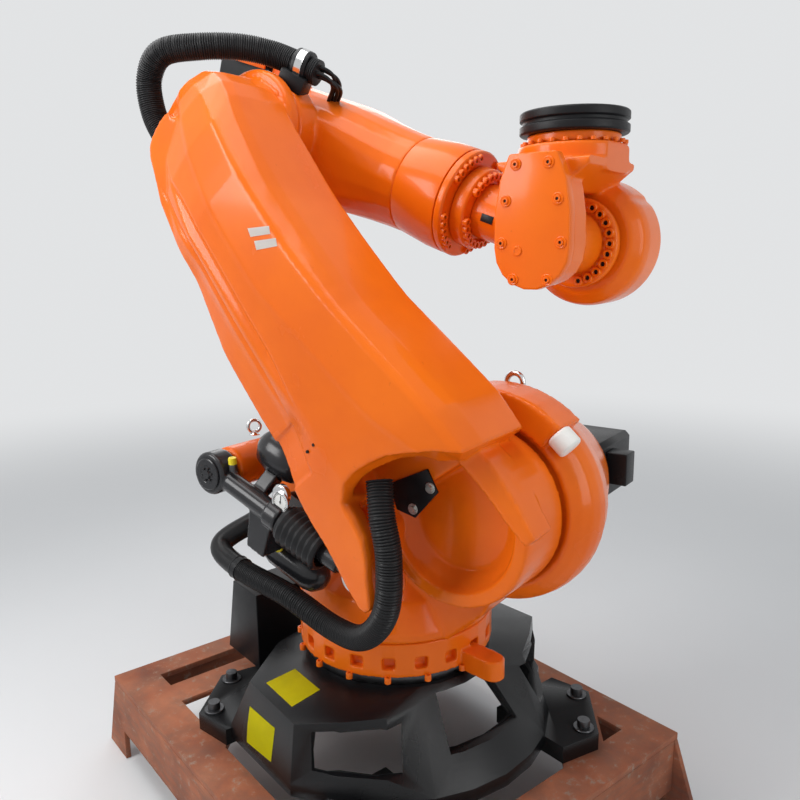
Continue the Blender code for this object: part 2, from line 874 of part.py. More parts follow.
def counterbalance(turn):
    swing = pivot(
        "cylinder_swing",
        turn,
        (-EYE_BACK, -CYLINDER_SIDE, EYE_HEIGHT),
        (0, CYLINDER_PITCH, 0),
    )
    half = EYE_THICKNESS / 2
    eye = chamfered(EYE_RADIUS, -half, half, EYE_RADIUS / 10, "Y", 32)
    body = piece("counterbalance_cylinder", eye, "black", swing)
    join(body, chamfered(TUBE_RADIUS, EYE_RADIUS / 2, TUBE_LENGTH, TUBE_RADIUS / 8, "X", 24))
    join(body, chamfered(TUBE_RADIUS * 1.35, TUBE_BORE_START * 2.05, TUBE_BORE_START * 2.5, TUBE_RADIUS / 8, "X", 24))
    block_low = TANK_RADIUS * 2.6
    manifold = prism(
        [
            (TUBE_BORE_START * 1.5, -TUBE_RADIUS / 2),
            (TUBE_BORE_START * 2.3, -TUBE_RADIUS / 2),
            (TUBE_BORE_START * 2.3, -block_low),
            (TUBE_BORE_START * 1.7, -block_low),
        ],
        -TUBE_RADIUS * 0.7,
        TANK_SIDE + TANK_RADIUS / 2,
        "Y",
    )
    join(body, manifold)
    saddle = prism(
        [
            (-TUBE_RADIUS * 0.5, -TUBE_RADIUS * 0.3),
            (TUBE_RADIUS * 0.5, -TUBE_RADIUS * 0.3),
            (REAR_TANK_SIDE + TUBE_RADIUS * 0.5, REAR_TANK_RISE - TUBE_RADIUS),
            (REAR_TANK_SIDE - TUBE_RADIUS * 0.5, REAR_TANK_RISE + TUBE_RADIUS * 0.6),
        ],
        TUBE_BORE_START * 1.2,
        TUBE_BORE_START * 1.6,
        "X",
    )
    join(body, saddle)
    rest = rod_form(
        REAR_TANK_RADIUS + SEAT_GAP,
        TUBE_BORE_START,
        TUBE_BORE_START * 2,
        "X",
        24,
        (REAR_TANK_SIDE, REAR_TANK_RISE),
    )
    cut(body, rest)
    cut(body, rod_form(EYE_PIN_RADIUS + SEAT_GAP * 2, -half - OVERRUN, half + OVERRUN, "Y", 24))
    cut(body, rod_form(TUBE_BORE, TUBE_BORE_START, TUBE_LENGTH + OVERRUN, "X", 24))
    tanks(swing)
    gauge = chamfered(GAUGE_RADIUS, -GAUGE_THICKNESS / 2, GAUGE_THICKNESS / 2, GAUGE_THICKNESS / 6, "Y", 24)
    place = TUBE_BORE_START * 2.25
    gauge_piece = piece(
        "counterbalance_gauge",
        gauge,
        "steel",
        swing,
        (place, 0, TUBE_RADIUS * 1.35 + GAUGE_RADIUS + SEAT_GAP),
    )
    stroke = pivot("rod_stroke", swing, (ROD_LENGTH, 0, 0))
    rod = piece(
        "counterbalance_rod",
        chamfered(ROD_EYE_RADIUS, -ROD_EYE_THICKNESS / 2, ROD_EYE_THICKNESS / 2, ROD_EYE_RADIUS / 10, "Y", 24),
        "steel",
        stroke,
    )
    join(rod, rod_form(ROD_RADIUS, ROD_BACK - ROD_LENGTH, -ROD_EYE_RADIUS / 2, "X", 24))
    bellows(stroke)
    return gauge_piece


def tanks(swing):
    """Two gas pressure tanks on the cylinder's block."""
    low = TANK_RADIUS * 2.6 + TANK_RADIUS
    r = TANK_RADIUS
    profile = [(0, 0), (r * 0.5, r * 0.13), (r * 0.87, r * 0.5), (r, r), (r, TANK_LENGTH - r)]
    profile += [(r * 0.87, TANK_LENGTH - r * 0.5), (r * 0.5, TANK_LENGTH - r * 0.13), (0, TANK_LENGTH)]
    piece(
        "front_tank",
        lathe(profile, "X", 24),
        "black",
        swing,
        (TUBE_BORE_START * 1.4, TANK_SIDE, -low - SEAT_GAP),
    )
    r = REAR_TANK_RADIUS
    profile = [(0, 0), (r * 0.5, r * 0.13), (r * 0.87, r * 0.5), (r, r), (r, REAR_TANK_LENGTH - r)]
    profile += [(r * 0.87, REAR_TANK_LENGTH - r * 0.5), (r * 0.5, REAR_TANK_LENGTH - r * 0.13), (0, REAR_TANK_LENGTH)]
    piece(
        "rear_tank",
        lathe(profile, "X", 24),
        "black",
        swing,
        (REAR_TANK_START, REAR_TANK_SIDE, REAR_TANK_RISE),
    )


def bellows(stroke):
    """Pleated boot over the rod, from the cylinder's head to the rod's eye."""
    outside, inside = [], []
    low, high = BELLOWS_START - ROD_LENGTH, BELLOWS_END - ROD_LENGTH
    count = 2 * BELLOWS_FOLDS
    for i in range(count + 1):
        place = low + (high - low) * i / count
        crest = BELLOWS_RADIUS if i % 2 else BELLOWS_RADIUS * 0.86
        outside.append((crest, place))
        inside.append((crest - BELLOWS_THICKNESS, place))
    throat = TUBE_RADIUS * 1.03
    profile = [(throat, low - BELLOWS_THICKNESS)] + [(BELLOWS_RADIUS * 0.86, low - BELLOWS_THICKNESS)]
    profile += outside + list(reversed(inside)) + [(throat, low)]
    piece("counterbalance_bellows", lathe(profile, "X", 20, closed=True), "rubber", stroke)


# Link arm

# Tables of shares: each row is a place along the arm as a share of LINK_LENGTH, then a share of ARM_REAR
ARM_REAR_SHARES = [
    (0.0, 0.93), (0.15, 0.97), (0.26, 0.945), (0.40, 1.0), (0.56, 1.03), (0.67, 0.96),
    (0.80, 0.87), (0.95, 0.79), (1.02, 0.74), (1.07, 0.66), (1.10, 0.55),
]
ARM_FRONT_SHARES = [
    (0.0, 0.80), (0.10, 0.79), (0.175, 0.77), (0.27, 0.68), (0.45, 0.50), (0.60, 0.43), (0.72, 0.39),
    (0.90, 0.39), (0.97, 0.40), (1.02, 0.375), (1.07, 0.28), (1.10, 0.15),
]
ARM_RIDGE_SHARES = [
    (0.0, 0.55), (0.15, 0.42), (0.23, 0.25), (0.39, 0.08), (0.58, -0.11), (0.75, -0.14), (0.95, -0.10),
    (1.02, -0.08), (1.10, -0.10),
]
ARM_CREST_SHARES = [
    (0.0, 0.75), (0.10, 0.74), (0.19, 0.69), (0.34, 0.54), (0.47, 0.42), (0.60, 0.34), (0.75, 0.30),
    (0.95, 0.28), (1.02, 0.24), (1.10, 0.05),
]
# Share of the arm's full depth that its near face keeps along its length
ARM_DEPTH_SHARES = [
    (0.0, 0.96), (0.10, 0.98), (0.18, 1.0), (0.80, 1.0), (0.92, 0.93), (1.01, 0.82), (1.06, 0.73), (1.10, 0.62),
]


def arm_section(place):
    """One loop across the link arm, from the inner rear corner round the near face."""
    share = place / LINK_LENGTH
    rear = -ARM_REAR * between(ARM_REAR_SHARES, share)
    front = ARM_REAR * between(ARM_FRONT_SHARES, share)
    ridge = ARM_REAR * between(ARM_RIDGE_SHARES, share)
    crest = ARM_REAR * between(ARM_CREST_SHARES, share)
    depth = between(ARM_DEPTH_SHARES, share)
    face = -ARM_INNER - (ARM_OUTER - ARM_INNER) * depth
    edge = -ARM_INNER - (ARM_EDGE - ARM_INNER) * depth
    c = ARM_CORNER
    points = [
        (rear + c, -ARM_INNER),
        (rear, -ARM_INNER - c),
        (rear, edge + c),
        (rear + c * 0.6, edge),
        ((rear + ridge) / 2, (edge + face) / 2 - c * 0.4),
        (ridge - c * 0.3, face),
        (ridge + c * 0.3, face - c * 0.15),
        (crest - c * 0.4, face + c * 0.1),
        (crest + c * 0.2, face + c * 0.5),
        (front - c * 0.2, edge - c * 0.2),
        (front, edge + c),
        (front, -ARM_INNER - c),
        (front - c, -ARM_INNER),
    ]
    return [Vector((x, y, place)) for x, y in points]


# Strip beside the pocket, down to the tip: a place along the arm, its rear edge and its front edge,
# all as shares of ARM_REAR
STRIP_SHARES = [
    (-0.27, -0.93, -0.78), (-0.22, -0.96, -0.74), (-0.10, -0.97, -0.66), (0.06, -0.97, -0.53),
    (0.20, -0.96, -0.45), (0.36, -0.955, -0.43), (0.50, -0.95, -0.43), (0.68, -0.945, -0.43),
]
# Mouth of the cavity that takes the hose, seen from the near side, as shares of ARM_REAR:
# its edge on the near face and its edge inside
MOUTH_SHARES = [
    (-0.53, -0.42), (-0.50, 0.33), (-0.445, 0.52), (-0.305, 0.617), (-0.153, 0.645), (0.028, 0.633),
    (0.194, 0.608), (0.375, 0.536), (0.57, 0.45), (0.83, 0.28), (0.945, 0.055), (0.945, -0.42),
]
THROAT_SHARES = [
    (-0.53, -0.42), (-0.52, 0.26), (-0.47, 0.42), (-0.38, 0.50), (-0.25, 0.54), (-0.083, 0.54),
    (0.11, 0.50), (0.278, 0.43), (0.444, 0.36), (0.694, 0.167), (0.83, 0.0), (0.83, -0.42),
]
# Raised lip along the front of the hub, down to its pointed nose, as shares of ARM_REAR
LIP_SHARES = [
    (0.37, 0.56), (0.58, 0.47), (0.64, 0.22), (0.655, -0.14), (0.64, -0.385), (0.54, -0.40), (0.50, -0.20),
    (0.47, 0.06), (0.42, 0.28),
]


def strip_section(place, rear, rim):
    """Loop across the strip, whose near face runs on from the arm's own."""
    z, rear, rim = place * ARM_REAR, rear * ARM_REAR, rim * ARM_REAR
    c = ARM_CORNER
    share = max(0.0, z / LINK_LENGTH)
    depth = between(ARM_DEPTH_SHARES, share)
    face = -ARM_INNER - (ARM_OUTER - ARM_INNER) * depth
    edge = -ARM_INNER - (ARM_EDGE - ARM_INNER) * depth
    ridge = ARM_REAR * between(ARM_RIDGE_SHARES, share)
    slope = ((face - edge) / 2 - c * 0.4) / ((ridge - rear) / 2 - c * 0.6)
    near = edge + slope * (rim - c * 0.4 - rear - c * 0.6)
    points = [
        (rim, -LOBE_INNER),
        (rear, -LOBE_INNER),
        (rear, edge + c),
        (rear + c * 0.6, edge + SEAT_GAP),
        (rim - c * 0.4, near + SEAT_GAP),
        (rim, near + c * 0.5),
    ]
    return [Vector((x, y, z)) for x, y in points]


def outline_at(shares, y):
    return [Vector((ARM_REAR * a, y, ARM_REAR * b)) for a, b in shares]


def pocket_form():
    """Cutter for the cavity, whose mouth narrows inwards."""
    return loft(
        [
            outline_at(MOUTH_SHARES, -ARM_OUTER - OVERRUN),
            outline_at(MOUTH_SHARES, -LOBE_OUTER),
            outline_at(THROAT_SHARES, -CYLINDER_SIDE),
            outline_at(THROAT_SHARES, -HUB_FACE - SEAT_GAP),
        ]
    )


def link_arm(shoulder):
    places = [ARM_START + (ARM_END - ARM_START) * i / 23 for i in range(24)]
    body = piece("link_arm", loft([arm_section(p) for p in places]), "orange", shoulder)
    hub = lathe(
        [
            (0, -HUB_SIDE),
            (HUB_RADIUS, -HUB_SIDE),
            (HUB_RADIUS * 0.985, -HUB_FACE + ARM_CORNER),
            (HUB_RADIUS * 0.97, -HUB_FACE),
            (BOWL_RADIUS * 1.06, -HUB_FACE),
            (BOWL_RADIUS, -HUB_FACE + BOWL_DEPTH * 0.4),
            (BOWL_RADIUS * 0.8, -HUB_FACE + BOWL_DEPTH),
            (0, -HUB_FACE + BOWL_DEPTH),
        ],
        "Y",
        48,
    )
    join(body, hub)
    elbow = chamfered(ELBOW_RADIUS, -ARM_INNER - OVERRUN, -ELBOW_SIDE, ARM_CORNER / 4, "Y", 40, (0, LINK_LENGTH))
    join(body, elbow)
    cut(body, pocket_form())
    join(body, loft([strip_section(*row) for row in STRIP_SHARES]))
    lip = [
        outline_at(LIP_SHARES, -HUB_FACE - ARM_CORNER),
        outline_at(LIP_SHARES, -HUB_FACE + BOWL_DEPTH),
    ]
    join(body, loft(lip))
    deep = ARM_REAR * 0.33
    cut(body, block((-deep * 1.2, -POCKET_OUTER, OVERRUN), (deep, -HUB_FACE - SEAT_GAP, POCKET_HIGH)))
    reach = ARM_REAR * 1.3
    slot = block(
        (-reach, -CYLINDER_SIDE - SLOT_HALF_WIDTH, -reach / 2),
        (-ARM_REAR * 0.3, -CYLINDER_SIDE + SLOT_HALF_WIDTH, ARM_REAR * 0.47),
    )
    cut(body, slot)
    channel = block(
        (-reach, -ARM_EDGE + ARM_CORNER * 0.2, CHANNEL_START),
        (-ARM_REAR * 0.36, -HUB_FACE + CHANNEL_FAR, ARM_END + OVERRUN),
    )
    cut(body, channel)
    plate = [(-0.30, 0.50), (0.09, 0.43), (0.07, 0.24), (-0.02, 0.22), (-0.24, 0.17), (-0.36, 0.30)]
    piece(
        "cable_plate",
        prism(
            [(ARM_REAR * a, ARM_REAR * b) for a, b in plate],
            -HUB_FACE - SEAT_GAP - GUARD_THICKNESS,
            -HUB_FACE - 2 * SEAT_GAP,
            "Y",
        ),
        "black",
        shoulder,
    )


# Upper arm


# Elbow end of the upper arm seen along the forearm: shares of UPPER_SIDE and of UPPER_TOP
ELBOW_SECTION_SHARES = [
    (1.0, 0.0), (1.0, 0.35), (1.0, 0.6), (0.88, 0.85), (0.65, 0.97), (0.3, 1.0), (0.0, 1.0), (-0.3, 1.0),
    (-0.6, 0.93), (-0.85, 0.75), (-0.98, 0.55), (-1.0, 0.4), (-1.0, 0.0), (-1.0, -0.6), (-1.0, -1.15),
    (-0.93, -1.38), (-0.75, -1.48), (-0.4, -1.48), (0.0, -1.48), (0.4, -1.48), (0.75, -1.48), (0.93, -1.38),
    (1.0, -1.15), (1.0, -0.6),
]


def upper_section(place):
    """Loop across the upper arm that changes from the elbow's section to the round tube."""
    start = ELBOW_RADIUS * 0.5
    share = max(0.0, min(1.0, (place - start) / (UPPER_TAPER_END - start)))
    share = share * share * (3 - 2 * share)
    loop = []
    for i, (a, b) in enumerate(ELBOW_SECTION_SHARES):
        t = 2 * pi * i / len(ELBOW_SECTION_SHARES)
        round_y, round_z = TUBE_ARM_RADIUS * cos(t), -WRIST_DROP + TUBE_ARM_RADIUS * sin(t)
        box_y, box_z = UPPER_SIDE * a, UPPER_TOP * b
        loop.append(
            Vector((place, box_y + (round_y - box_y) * share, box_z + (round_z - box_z) * share))
        )
    return loop


def upper_arm(elbow):
    places = [-UPPER_BACK, -UPPER_BACK / 2, 0, ELBOW_RADIUS * 0.5]
    places += [ELBOW_RADIUS * 0.5 + (UPPER_TAPER_END - ELBOW_RADIUS * 0.5) * i / 6 for i in range(1, 7)]
    body = piece("upper_arm_casting", loft([upper_section(p) for p in places]), "orange", elbow)
    hub = chamfered(
        UPPER_HUB_RADIUS, -ELBOW_SIDE + RUN_GAP, -UPPER_SIDE + OVERRUN, ARM_CORNER / 4, "Y", 40
    )
    join(body, hub)
    spigot = rod_form(UPPER_HUB_RADIUS * 0.7, -ELBOW_SIDE + SEAT_GAP, -UPPER_SIDE, "Y", 32)
    join(body, spigot)
    tube = lathe(
        [
            (0, UPPER_TAPER_END + SEAT_GAP),
            (TUBE_ARM_RADIUS, UPPER_TAPER_END + SEAT_GAP),
            (TUBE_END_RADIUS, TUBE_ARM_END - END_FLANGE_THICKNESS * 2),
            (TUBE_END_RADIUS, TUBE_ARM_END),
            (0, TUBE_ARM_END),
        ],
        "X",
        40,
        False,
        (0, -WRIST_DROP),
    )
    piece("upper_arm_tube", tube, "orange", elbow)
    flange = chamfered(
        TUBE_END_RADIUS,
        TUBE_ARM_END + SEAT_GAP,
        TUBE_ARM_END + END_FLANGE_THICKNESS,
        END_FLANGE_THICKNESS / 5,
        "X",
        40,
        (0, -WRIST_DROP),
    )
    piece("upper_arm_flange", flange, "orange", elbow)
    size = MOTOR_ARM_SIZE / 2
    rise = MOTOR_ARM_RISE
    boss = block((-UPPER_BACK, -size * 1.1, 0), (-UPPER_BACK + size, size * 1.1, rise))
    join(body, boss)
    guard_low = rise + SEAT_GAP
    lip = size / 2
    rear = -UPPER_BACK + size - GUARD_LENGTH
    guard = piece(
        "motor_guard",
        block((rear, -GUARD_HALF_WIDTH, guard_low), (rear + GUARD_LENGTH, GUARD_HALF_WIDTH, guard_low + GUARD_THICKNESS)),
        "orange",
        elbow,
    )
    for way in (-1, 1):
        inner, outer = sorted((way * (GUARD_HALF_WIDTH - GUARD_THICKNESS), way * GUARD_HALF_WIDTH))
        join(guard, block((rear, inner, guard_low - lip), (-UPPER_BACK - RUN_GAP, outer, guard_low + GUARD_THICKNESS / 2)))
    start = -UPPER_BACK - MOTOR_ARM_LENGTH
    places = {
        "axis_4_motor": (UPPER_SIDE - size, -UPPER_BOTTOM + size),
        "axis_5_motor": (-UPPER_SIDE + size, -UPPER_BOTTOM + size),
        "axis_6_motor": (0, rise - size - GUARD_THICKNESS),
    }
    for name, (y, z) in places.items():
        motor = piece(
            name,
            block((start, y - size, z - size), (-UPPER_BACK - SEAT_GAP, y + size, z + size)),
            "black",
            elbow,
        )
        eased(motor, size / 5)


# Wrist


def wrist_roll(roll):
    start = TUBE_ARM_END + END_FLANGE_THICKNESS + SEAT_GAP
    flange = chamfered(ROLL_FLANGE_RADIUS, start, start + ROLL_FLANGE_THICKNESS, ROLL_FLANGE_THICKNESS / 8, "X", 32)
    piece("wrist_roll_flange", flange, "orange", roll)
    neck_start = start + ROLL_FLANGE_THICKNESS + SEAT_GAP
    neck = lathe(
        [
            (0, neck_start),
            (NECK_RADIUS, neck_start),
            (NECK_RADIUS * 0.94, FOREARM_LENGTH - CROSS_RADIUS * 0.5),
            (0, FOREARM_LENGTH - CROSS_RADIUS * 0.5),
        ],
        "X",
        32,
    )
    body = piece("wrist_neck", neck, "orange", roll)
    inside = CROSS_FAR - CROSS_FLANGE_THICKNESS / 2
    cross = chamfered(CROSS_RADIUS, -CROSS_NEAR, inside, CROSS_RADIUS / 12, "Y", 36, (FOREARM_LENGTH, 0))
    join(body, cross)
    spigot = rod_form(
        NECK_RADIUS * 0.6, CROSS_FAR - OVERRUN, DRUM_NEAR - SEAT_GAP, "Y", 24, (FOREARM_LENGTH, 0)
    )
    flat_from = FOREARM_LENGTH - DRUM_RADIUS - 2 * RUN_GAP
    side = NECK_RADIUS + OVERRUN
    cut(
        body,
        block((flat_from, CROSS_FAR - RUN_GAP, -side), (FOREARM_LENGTH, side, side)),
    )
    far = chamfered(
        CROSS_FLANGE_RADIUS,
        CROSS_FAR - CROSS_FLANGE_THICKNESS,
        CROSS_FAR,
        CROSS_RADIUS / 16,
        "Y",
        40,
        (FOREARM_LENGTH, 0),
    )
    join(body, far)
    join(body, spigot)


def cover_outline(radius, top):
    """Wrist cover: round below, tapering to a flat top."""
    outline = []
    for degrees in range(180, 361, 20):
        t = radians(degrees)
        outline.append((radius * cos(t), radius * sin(t) - CROSS_RADIUS * 0.15))
    outline += [
        (radius * 0.99, top * 0.35),
        (radius * 0.86, top * 0.72),
        (radius * 0.62, top),
        (-radius * 0.62, top),
        (-radius * 0.86, top * 0.72),
        (-radius * 0.99, top * 0.35),
    ]
    return outline


def wrist_pitch(pitch):
    """Fork that swings about axis 5, with its cover plate and its far gearbox drum."""
    near = -COVER_FACE + COVER_THICKNESS + SEAT_GAP
    body = piece(
        "wrist_fork",
        prism(cover_outline(COVER_RADIUS * 0.94, HEAD_LOW), near, -CHEEK_NEAR, "Y"),
        "orange",
        pitch,
    )
    drum = lathe(
        [
            (0, DRUM_NEAR),
            (DRUM_RADIUS * 0.8, DRUM_NEAR),
            (DRUM_RADIUS * 0.97, DRUM_NEAR + CROSS_RADIUS * 0.35),
            (DRUM_RADIUS, DRUM_NEAR + CROSS_RADIUS * 0.7),
            (DRUM_RADIUS, DRUM_FAR - CROSS_RADIUS * 0.3),
            (DRUM_RADIUS * 0.93, DRUM_FAR),
            (0, DRUM_FAR),
        ],
        "Y",
        48,
    )
    join(body, drum)
    clear = CROSS_FLANGE_RADIUS + RUN_GAP
    bridge = prism(
        [
            (-COVER_RADIUS * 0.45, clear),
            (COVER_RADIUS * 0.45, clear),
            (HEAD_RADIUS * 0.93, HEAD_LOW),
            (HEAD_RADIUS * 0.93, HEAD_LOW + OVERRUN / 2),
            (-HEAD_RADIUS * 0.93, HEAD_LOW + OVERRUN / 2),
            (-HEAD_RADIUS * 0.93, HEAD_LOW),
        ],
        near + COVER_THICKNESS * 0.5,
        DRUM_NEAR + CROSS_RADIUS * 0.7,
        "Y",
    )
    join(body, bridge)
    join(body, chamfered(HEAD_RADIUS, HEAD_LOW - OVERRUN, HEAD_HIGH, OVERRUN / 4, "Z", 48))
    cover = prism(
        cover_outline(COVER_RADIUS, HEAD_LOW + OVERRUN), -COVER_FACE, -COVER_FACE + COVER_THICKNESS, "Y"
    )
    piece("wrist_cover", cover, "orange", pitch)
    disc = chamfered(
        DRUM_RADIUS * 0.85, DRUM_FAR + SEAT_GAP, DRUM_FAR + COVER_THICKNESS * 0.6, COVER_THICKNESS / 6, "Y", 40
    )
    piece("wrist_drum_cover", disc, "orange", pitch)


def tool_flange(spin):
    ring = chamfered(
        TOOL_RING_RADIUS, HEAD_HIGH + SEAT_GAP, FLANGE_REACH, (FLANGE_REACH - HEAD_HIGH) / 8, "Z", 40
    )
    piece("tool_ring", ring, "orange", spin)
    low, high = FLANGE_REACH + SEAT_GAP, FLANGE_REACH + DISC_THICKNESS
    mid, g = (low + high) / 2, DISC_GROOVE
    disc = lathe(
        [
            (0, low),
            (DISC_RADIUS - g / 2, low),
            (DISC_RADIUS, low + g / 2),
            (DISC_RADIUS, mid - g),
            (DISC_RADIUS - g, mid - g / 2),
            (DISC_RADIUS - g, mid + g / 2),
            (DISC_RADIUS, mid + g),
            (DISC_RADIUS, high - g / 2),
            (DISC_RADIUS - g / 2, high),
            (0, high),
        ],
        steps=48,
    )
    piece("tool_disc", disc, "black", spin)


# Hose routes, in the frame of the turning column

LOWER_ROUTE = [
    (-0.33, -0.1605, 0.83),
    (-0.33, -0.20, 0.83),
    (-0.38, -0.31, 0.79),
    (-0.437, -0.42, 0.725),
    (-0.308, -0.46, 0.685),
    (-0.052, -0.49, 0.665),
    (0.15, -0.51, 0.625),
    (0.29, -0.54, 0.65),
    (0.385, -0.56, 0.76),
    (0.40, -0.562, 0.916),
    (0.378, -0.56, 1.03),
    (0.352, -0.535, 1.12),
]
UPPER_ROUTE = [
    (-0.38021, -0.46, 1.874),
    (-0.3994, -0.46, 1.9004),
    (-0.46, -0.465, 1.985),
    (-0.52, -0.475, 2.07),
    (-0.56, -0.485, 2.15),
    (-0.565, -0.49, 2.25),
    (-0.51, -0.48, 2.32),
    (-0.41, -0.42, 2.335),
    (-0.325, -0.33, 2.338),
    (-0.26, -0.262, 2.322),
    (-0.19, -0.225, 2.29),
    (-0.12, -0.20, 2.255),
]


def centred(base):
    """Puts the middle of the whole machine over the origin; every piece hangs from the base empty."""
    bpy.context.view_layer.update()
    graph = bpy.context.evaluated_depsgraph_get()
    low, high = Vector((0, 0, 0)), Vector((0, 0, 0))
    for thing in bpy.data.objects:
        if thing.type == "EMPTY" or thing.hide_render:
            continue
        seen = thing.evaluated_get(graph)
        mesh = seen.to_mesh()
        for vertex in mesh.vertices:
            spot = seen.matrix_world @ vertex.co
            for i in range(2):
                low[i], high[i] = min(low[i], spot[i]), max(high[i], spot[i])
        seen.to_mesh_clear()
    base.location = (-(low[0] + high[0]) / 2, -(low[1] + high[1]) / 2, STAND_HEIGHT)


def build():
    clear_scene()
    base = pivot("base", None, (0, 0, STAND_HEIGHT))
    stand(base)
    base_casting(base)
    connection_box(base)
    turn = pivot("axis_1", base, (0, 0, 0), (0, 0, TURN_ANGLE))
    column_crown(turn)
    column_casting(turn)
    column_fittings(turn)
    counterbalance(turn)
    shoulder = pivot("axis_2", turn, (SHOULDER_FORWARD, 0, SHOULDER_HEIGHT), (0, -LEAN_ANGLE, 0))
    link_arm(shoulder)
    elbow = pivot("axis_3", shoulder, (0, 0, LINK_LENGTH), (0, LEAN_ANGLE + SLOPE_ANGLE, 0))
    upper_arm(elbow)
    roll = pivot("axis_4", elbow, (0, 0, -WRIST_DROP))
    wrist_roll(roll)
    pitch = pivot("axis_5", roll, (FOREARM_LENGTH, 0, 0), (0, -SLOPE_ANGLE, 0))
    wrist_pitch(pitch)
    spin = pivot("axis_6", pitch, (0, 0, 0))
    tool_flange(spin)
    hose("hose_lower", LOWER_ROUTE, HOSE_RADIUS, turn, HOSE_RADIUS * 3)
    hose("hose_upper", UPPER_ROUTE, HOSE_RADIUS, turn, HOSE_RADIUS * 3)
    centred(base)


build()
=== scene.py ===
"""Looks of the six-axis robot arm on its welded stand.

Castings with rounded edges, paint, bolts, hoses and fittings. Metres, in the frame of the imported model.
Each frame below is that of the joint it is named after, so a detail is placed in the same local coordinates
as the solid that carries it.
"""

import json
from math import cos, pi, radians, sin

import bmesh
import bpy
import numpy as np
from mathutils import Matrix, Vector
from mathutils.bvhtree import BVHTree


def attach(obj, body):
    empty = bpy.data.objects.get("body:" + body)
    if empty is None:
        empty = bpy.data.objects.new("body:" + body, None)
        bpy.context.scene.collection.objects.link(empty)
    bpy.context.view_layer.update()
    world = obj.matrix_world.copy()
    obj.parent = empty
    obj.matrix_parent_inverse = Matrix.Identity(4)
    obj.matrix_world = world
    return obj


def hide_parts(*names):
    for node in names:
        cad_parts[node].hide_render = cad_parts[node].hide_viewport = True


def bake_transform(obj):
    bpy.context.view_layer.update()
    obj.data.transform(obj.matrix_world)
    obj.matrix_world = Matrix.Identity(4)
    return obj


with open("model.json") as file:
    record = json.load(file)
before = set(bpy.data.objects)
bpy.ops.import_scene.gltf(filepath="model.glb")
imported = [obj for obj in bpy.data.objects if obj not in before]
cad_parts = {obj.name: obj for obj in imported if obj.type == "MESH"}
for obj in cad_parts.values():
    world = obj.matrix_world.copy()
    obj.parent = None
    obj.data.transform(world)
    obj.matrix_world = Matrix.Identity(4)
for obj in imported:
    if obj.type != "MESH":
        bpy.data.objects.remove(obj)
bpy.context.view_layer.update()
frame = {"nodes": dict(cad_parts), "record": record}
BODY_OF = {n: b for b, ns in frame["record"]["behaviour"]["bodies"].items() for n in ns}
JOINT = {j["name"]: j for j in frame["record"]["behaviour"]["joints"]}


def turned(angle, axis):
    return Matrix.Rotation(radians(angle), 4, axis)


def moved(x, y, z):
    return Matrix.Translation((x, y, z))


BASE = moved(*JOINT["axis_1_turn"]["pos_m"])
A1 = BASE @ turned(14.5, "Z")
A2 = A1 @ moved(0.51, 0, 1.0) @ turned(-36.02, "Y")
A3 = A2 @ moved(0, 0, 1.37) @ turned(55.56, "Y")
A4 = A3 @ moved(0, 0, -0.04)
A5 = A4 @ moved(1.005, 0, 0) @ turned(-19.54, "Y")
SWING = A1 @ moved(-0.343, -0.5, 1.022) @ turned(20.2, "Y")
NEAR = (0, -1, 0)


# Materials


def shader(name, roughness, metallic=0.0, coat=0.0, coat_roughness=0.1, specular=0.32):
    made = bpy.data.materials.new(name)
    made.use_nodes = True
    nodes, links = made.node_tree.nodes, made.node_tree.links
    out = nodes["Principled BSDF"]
    out.inputs["Metallic"].default_value = metallic
    out.inputs["Roughness"].default_value = roughness
    out.inputs["Coat Weight"].default_value = coat
    out.inputs["Specular IOR Level"].default_value = 0.5 if metallic else specular
    out.inputs["Coat Roughness"].default_value = coat_roughness
    return made, nodes, links, out


def noise(nodes, links, scale, detail=4.0, rough=0.55, vector=None):
    made = nodes.new("ShaderNodeTexNoise")
    made.inputs["Scale"].default_value = scale
    made.inputs["Detail"].default_value = detail
    made.inputs["Roughness"].default_value = rough
    if vector is None:
        vector = nodes.new("ShaderNodeTexCoord").outputs["Object"]
    links.new(vector, made.inputs["Vector"])
    return made.outputs["Fac"]


def ramp(nodes, links, source, stops):
    """Grey or coloured ramp; a stop's value is one number or three."""
    made = nodes.new("ShaderNodeValToRGB")
    links.new(source, made.inputs["Fac"])
    elements = made.color_ramp.elements
    while len(elements) < len(stops):
        elements.new(0.5)
    for element, (place, value) in zip(elements, stops):
        element.position = place
        element.color = (*value, 1) if isinstance(value, tuple) else (value, value, value, 1)
    return made.outputs["Color"]


def mixed(nodes, links, factor, a, b):
    made = nodes.new("ShaderNodeMix")
    made.data_type = "RGBA"
    for socket, value in ((made.inputs[0], factor), (made.inputs[6], a), (made.inputs[7], b)):
        if isinstance(value, tuple):
            socket.default_value = (*value, 1)
        else:
            links.new(value, socket)
    return made.outputs[2]


def calculated(nodes, links, operation, a, b, clamp=False):
    """Math or vector math node of two sockets, or of a socket and a fixed value."""
    vector = operation in ("SUBTRACT", "DOT_PRODUCT")
    made = nodes.new("ShaderNodeVectorMath" if vector else "ShaderNodeMath")
    made.operation = operation
    links.new(a, made.inputs[0])
    if isinstance(b, bpy.types.NodeSocket):
        links.new(b, made.inputs[1])
    else:
        made.inputs[1].default_value = b
    if clamp:
        made.use_clamp = True
    return made.outputs["Value" if operation != "SUBTRACT" else "Vector"]


def ranged(nodes, links, source, low, high, source_low=0.3, source_high=0.7):
    made = nodes.new("ShaderNodeMapRange")
    links.new(source, made.inputs["Value"])
    ends = {"From Min": source_low, "From Max": source_high, "To Min": low, "To Max": high}
    for label, value in ends.items():
        made.inputs[label].default_value = value
    return made.outputs["Result"]


def toned(nodes, links, source, colour, deep):
    return mixed(nodes, links, ranged(nodes, links, source, 0.0, 1.0), colour, deep)


def roughened(nodes, links, out, source, low, high):
    links.new(ranged(nodes, links, source, low, high), out.inputs["Roughness"])


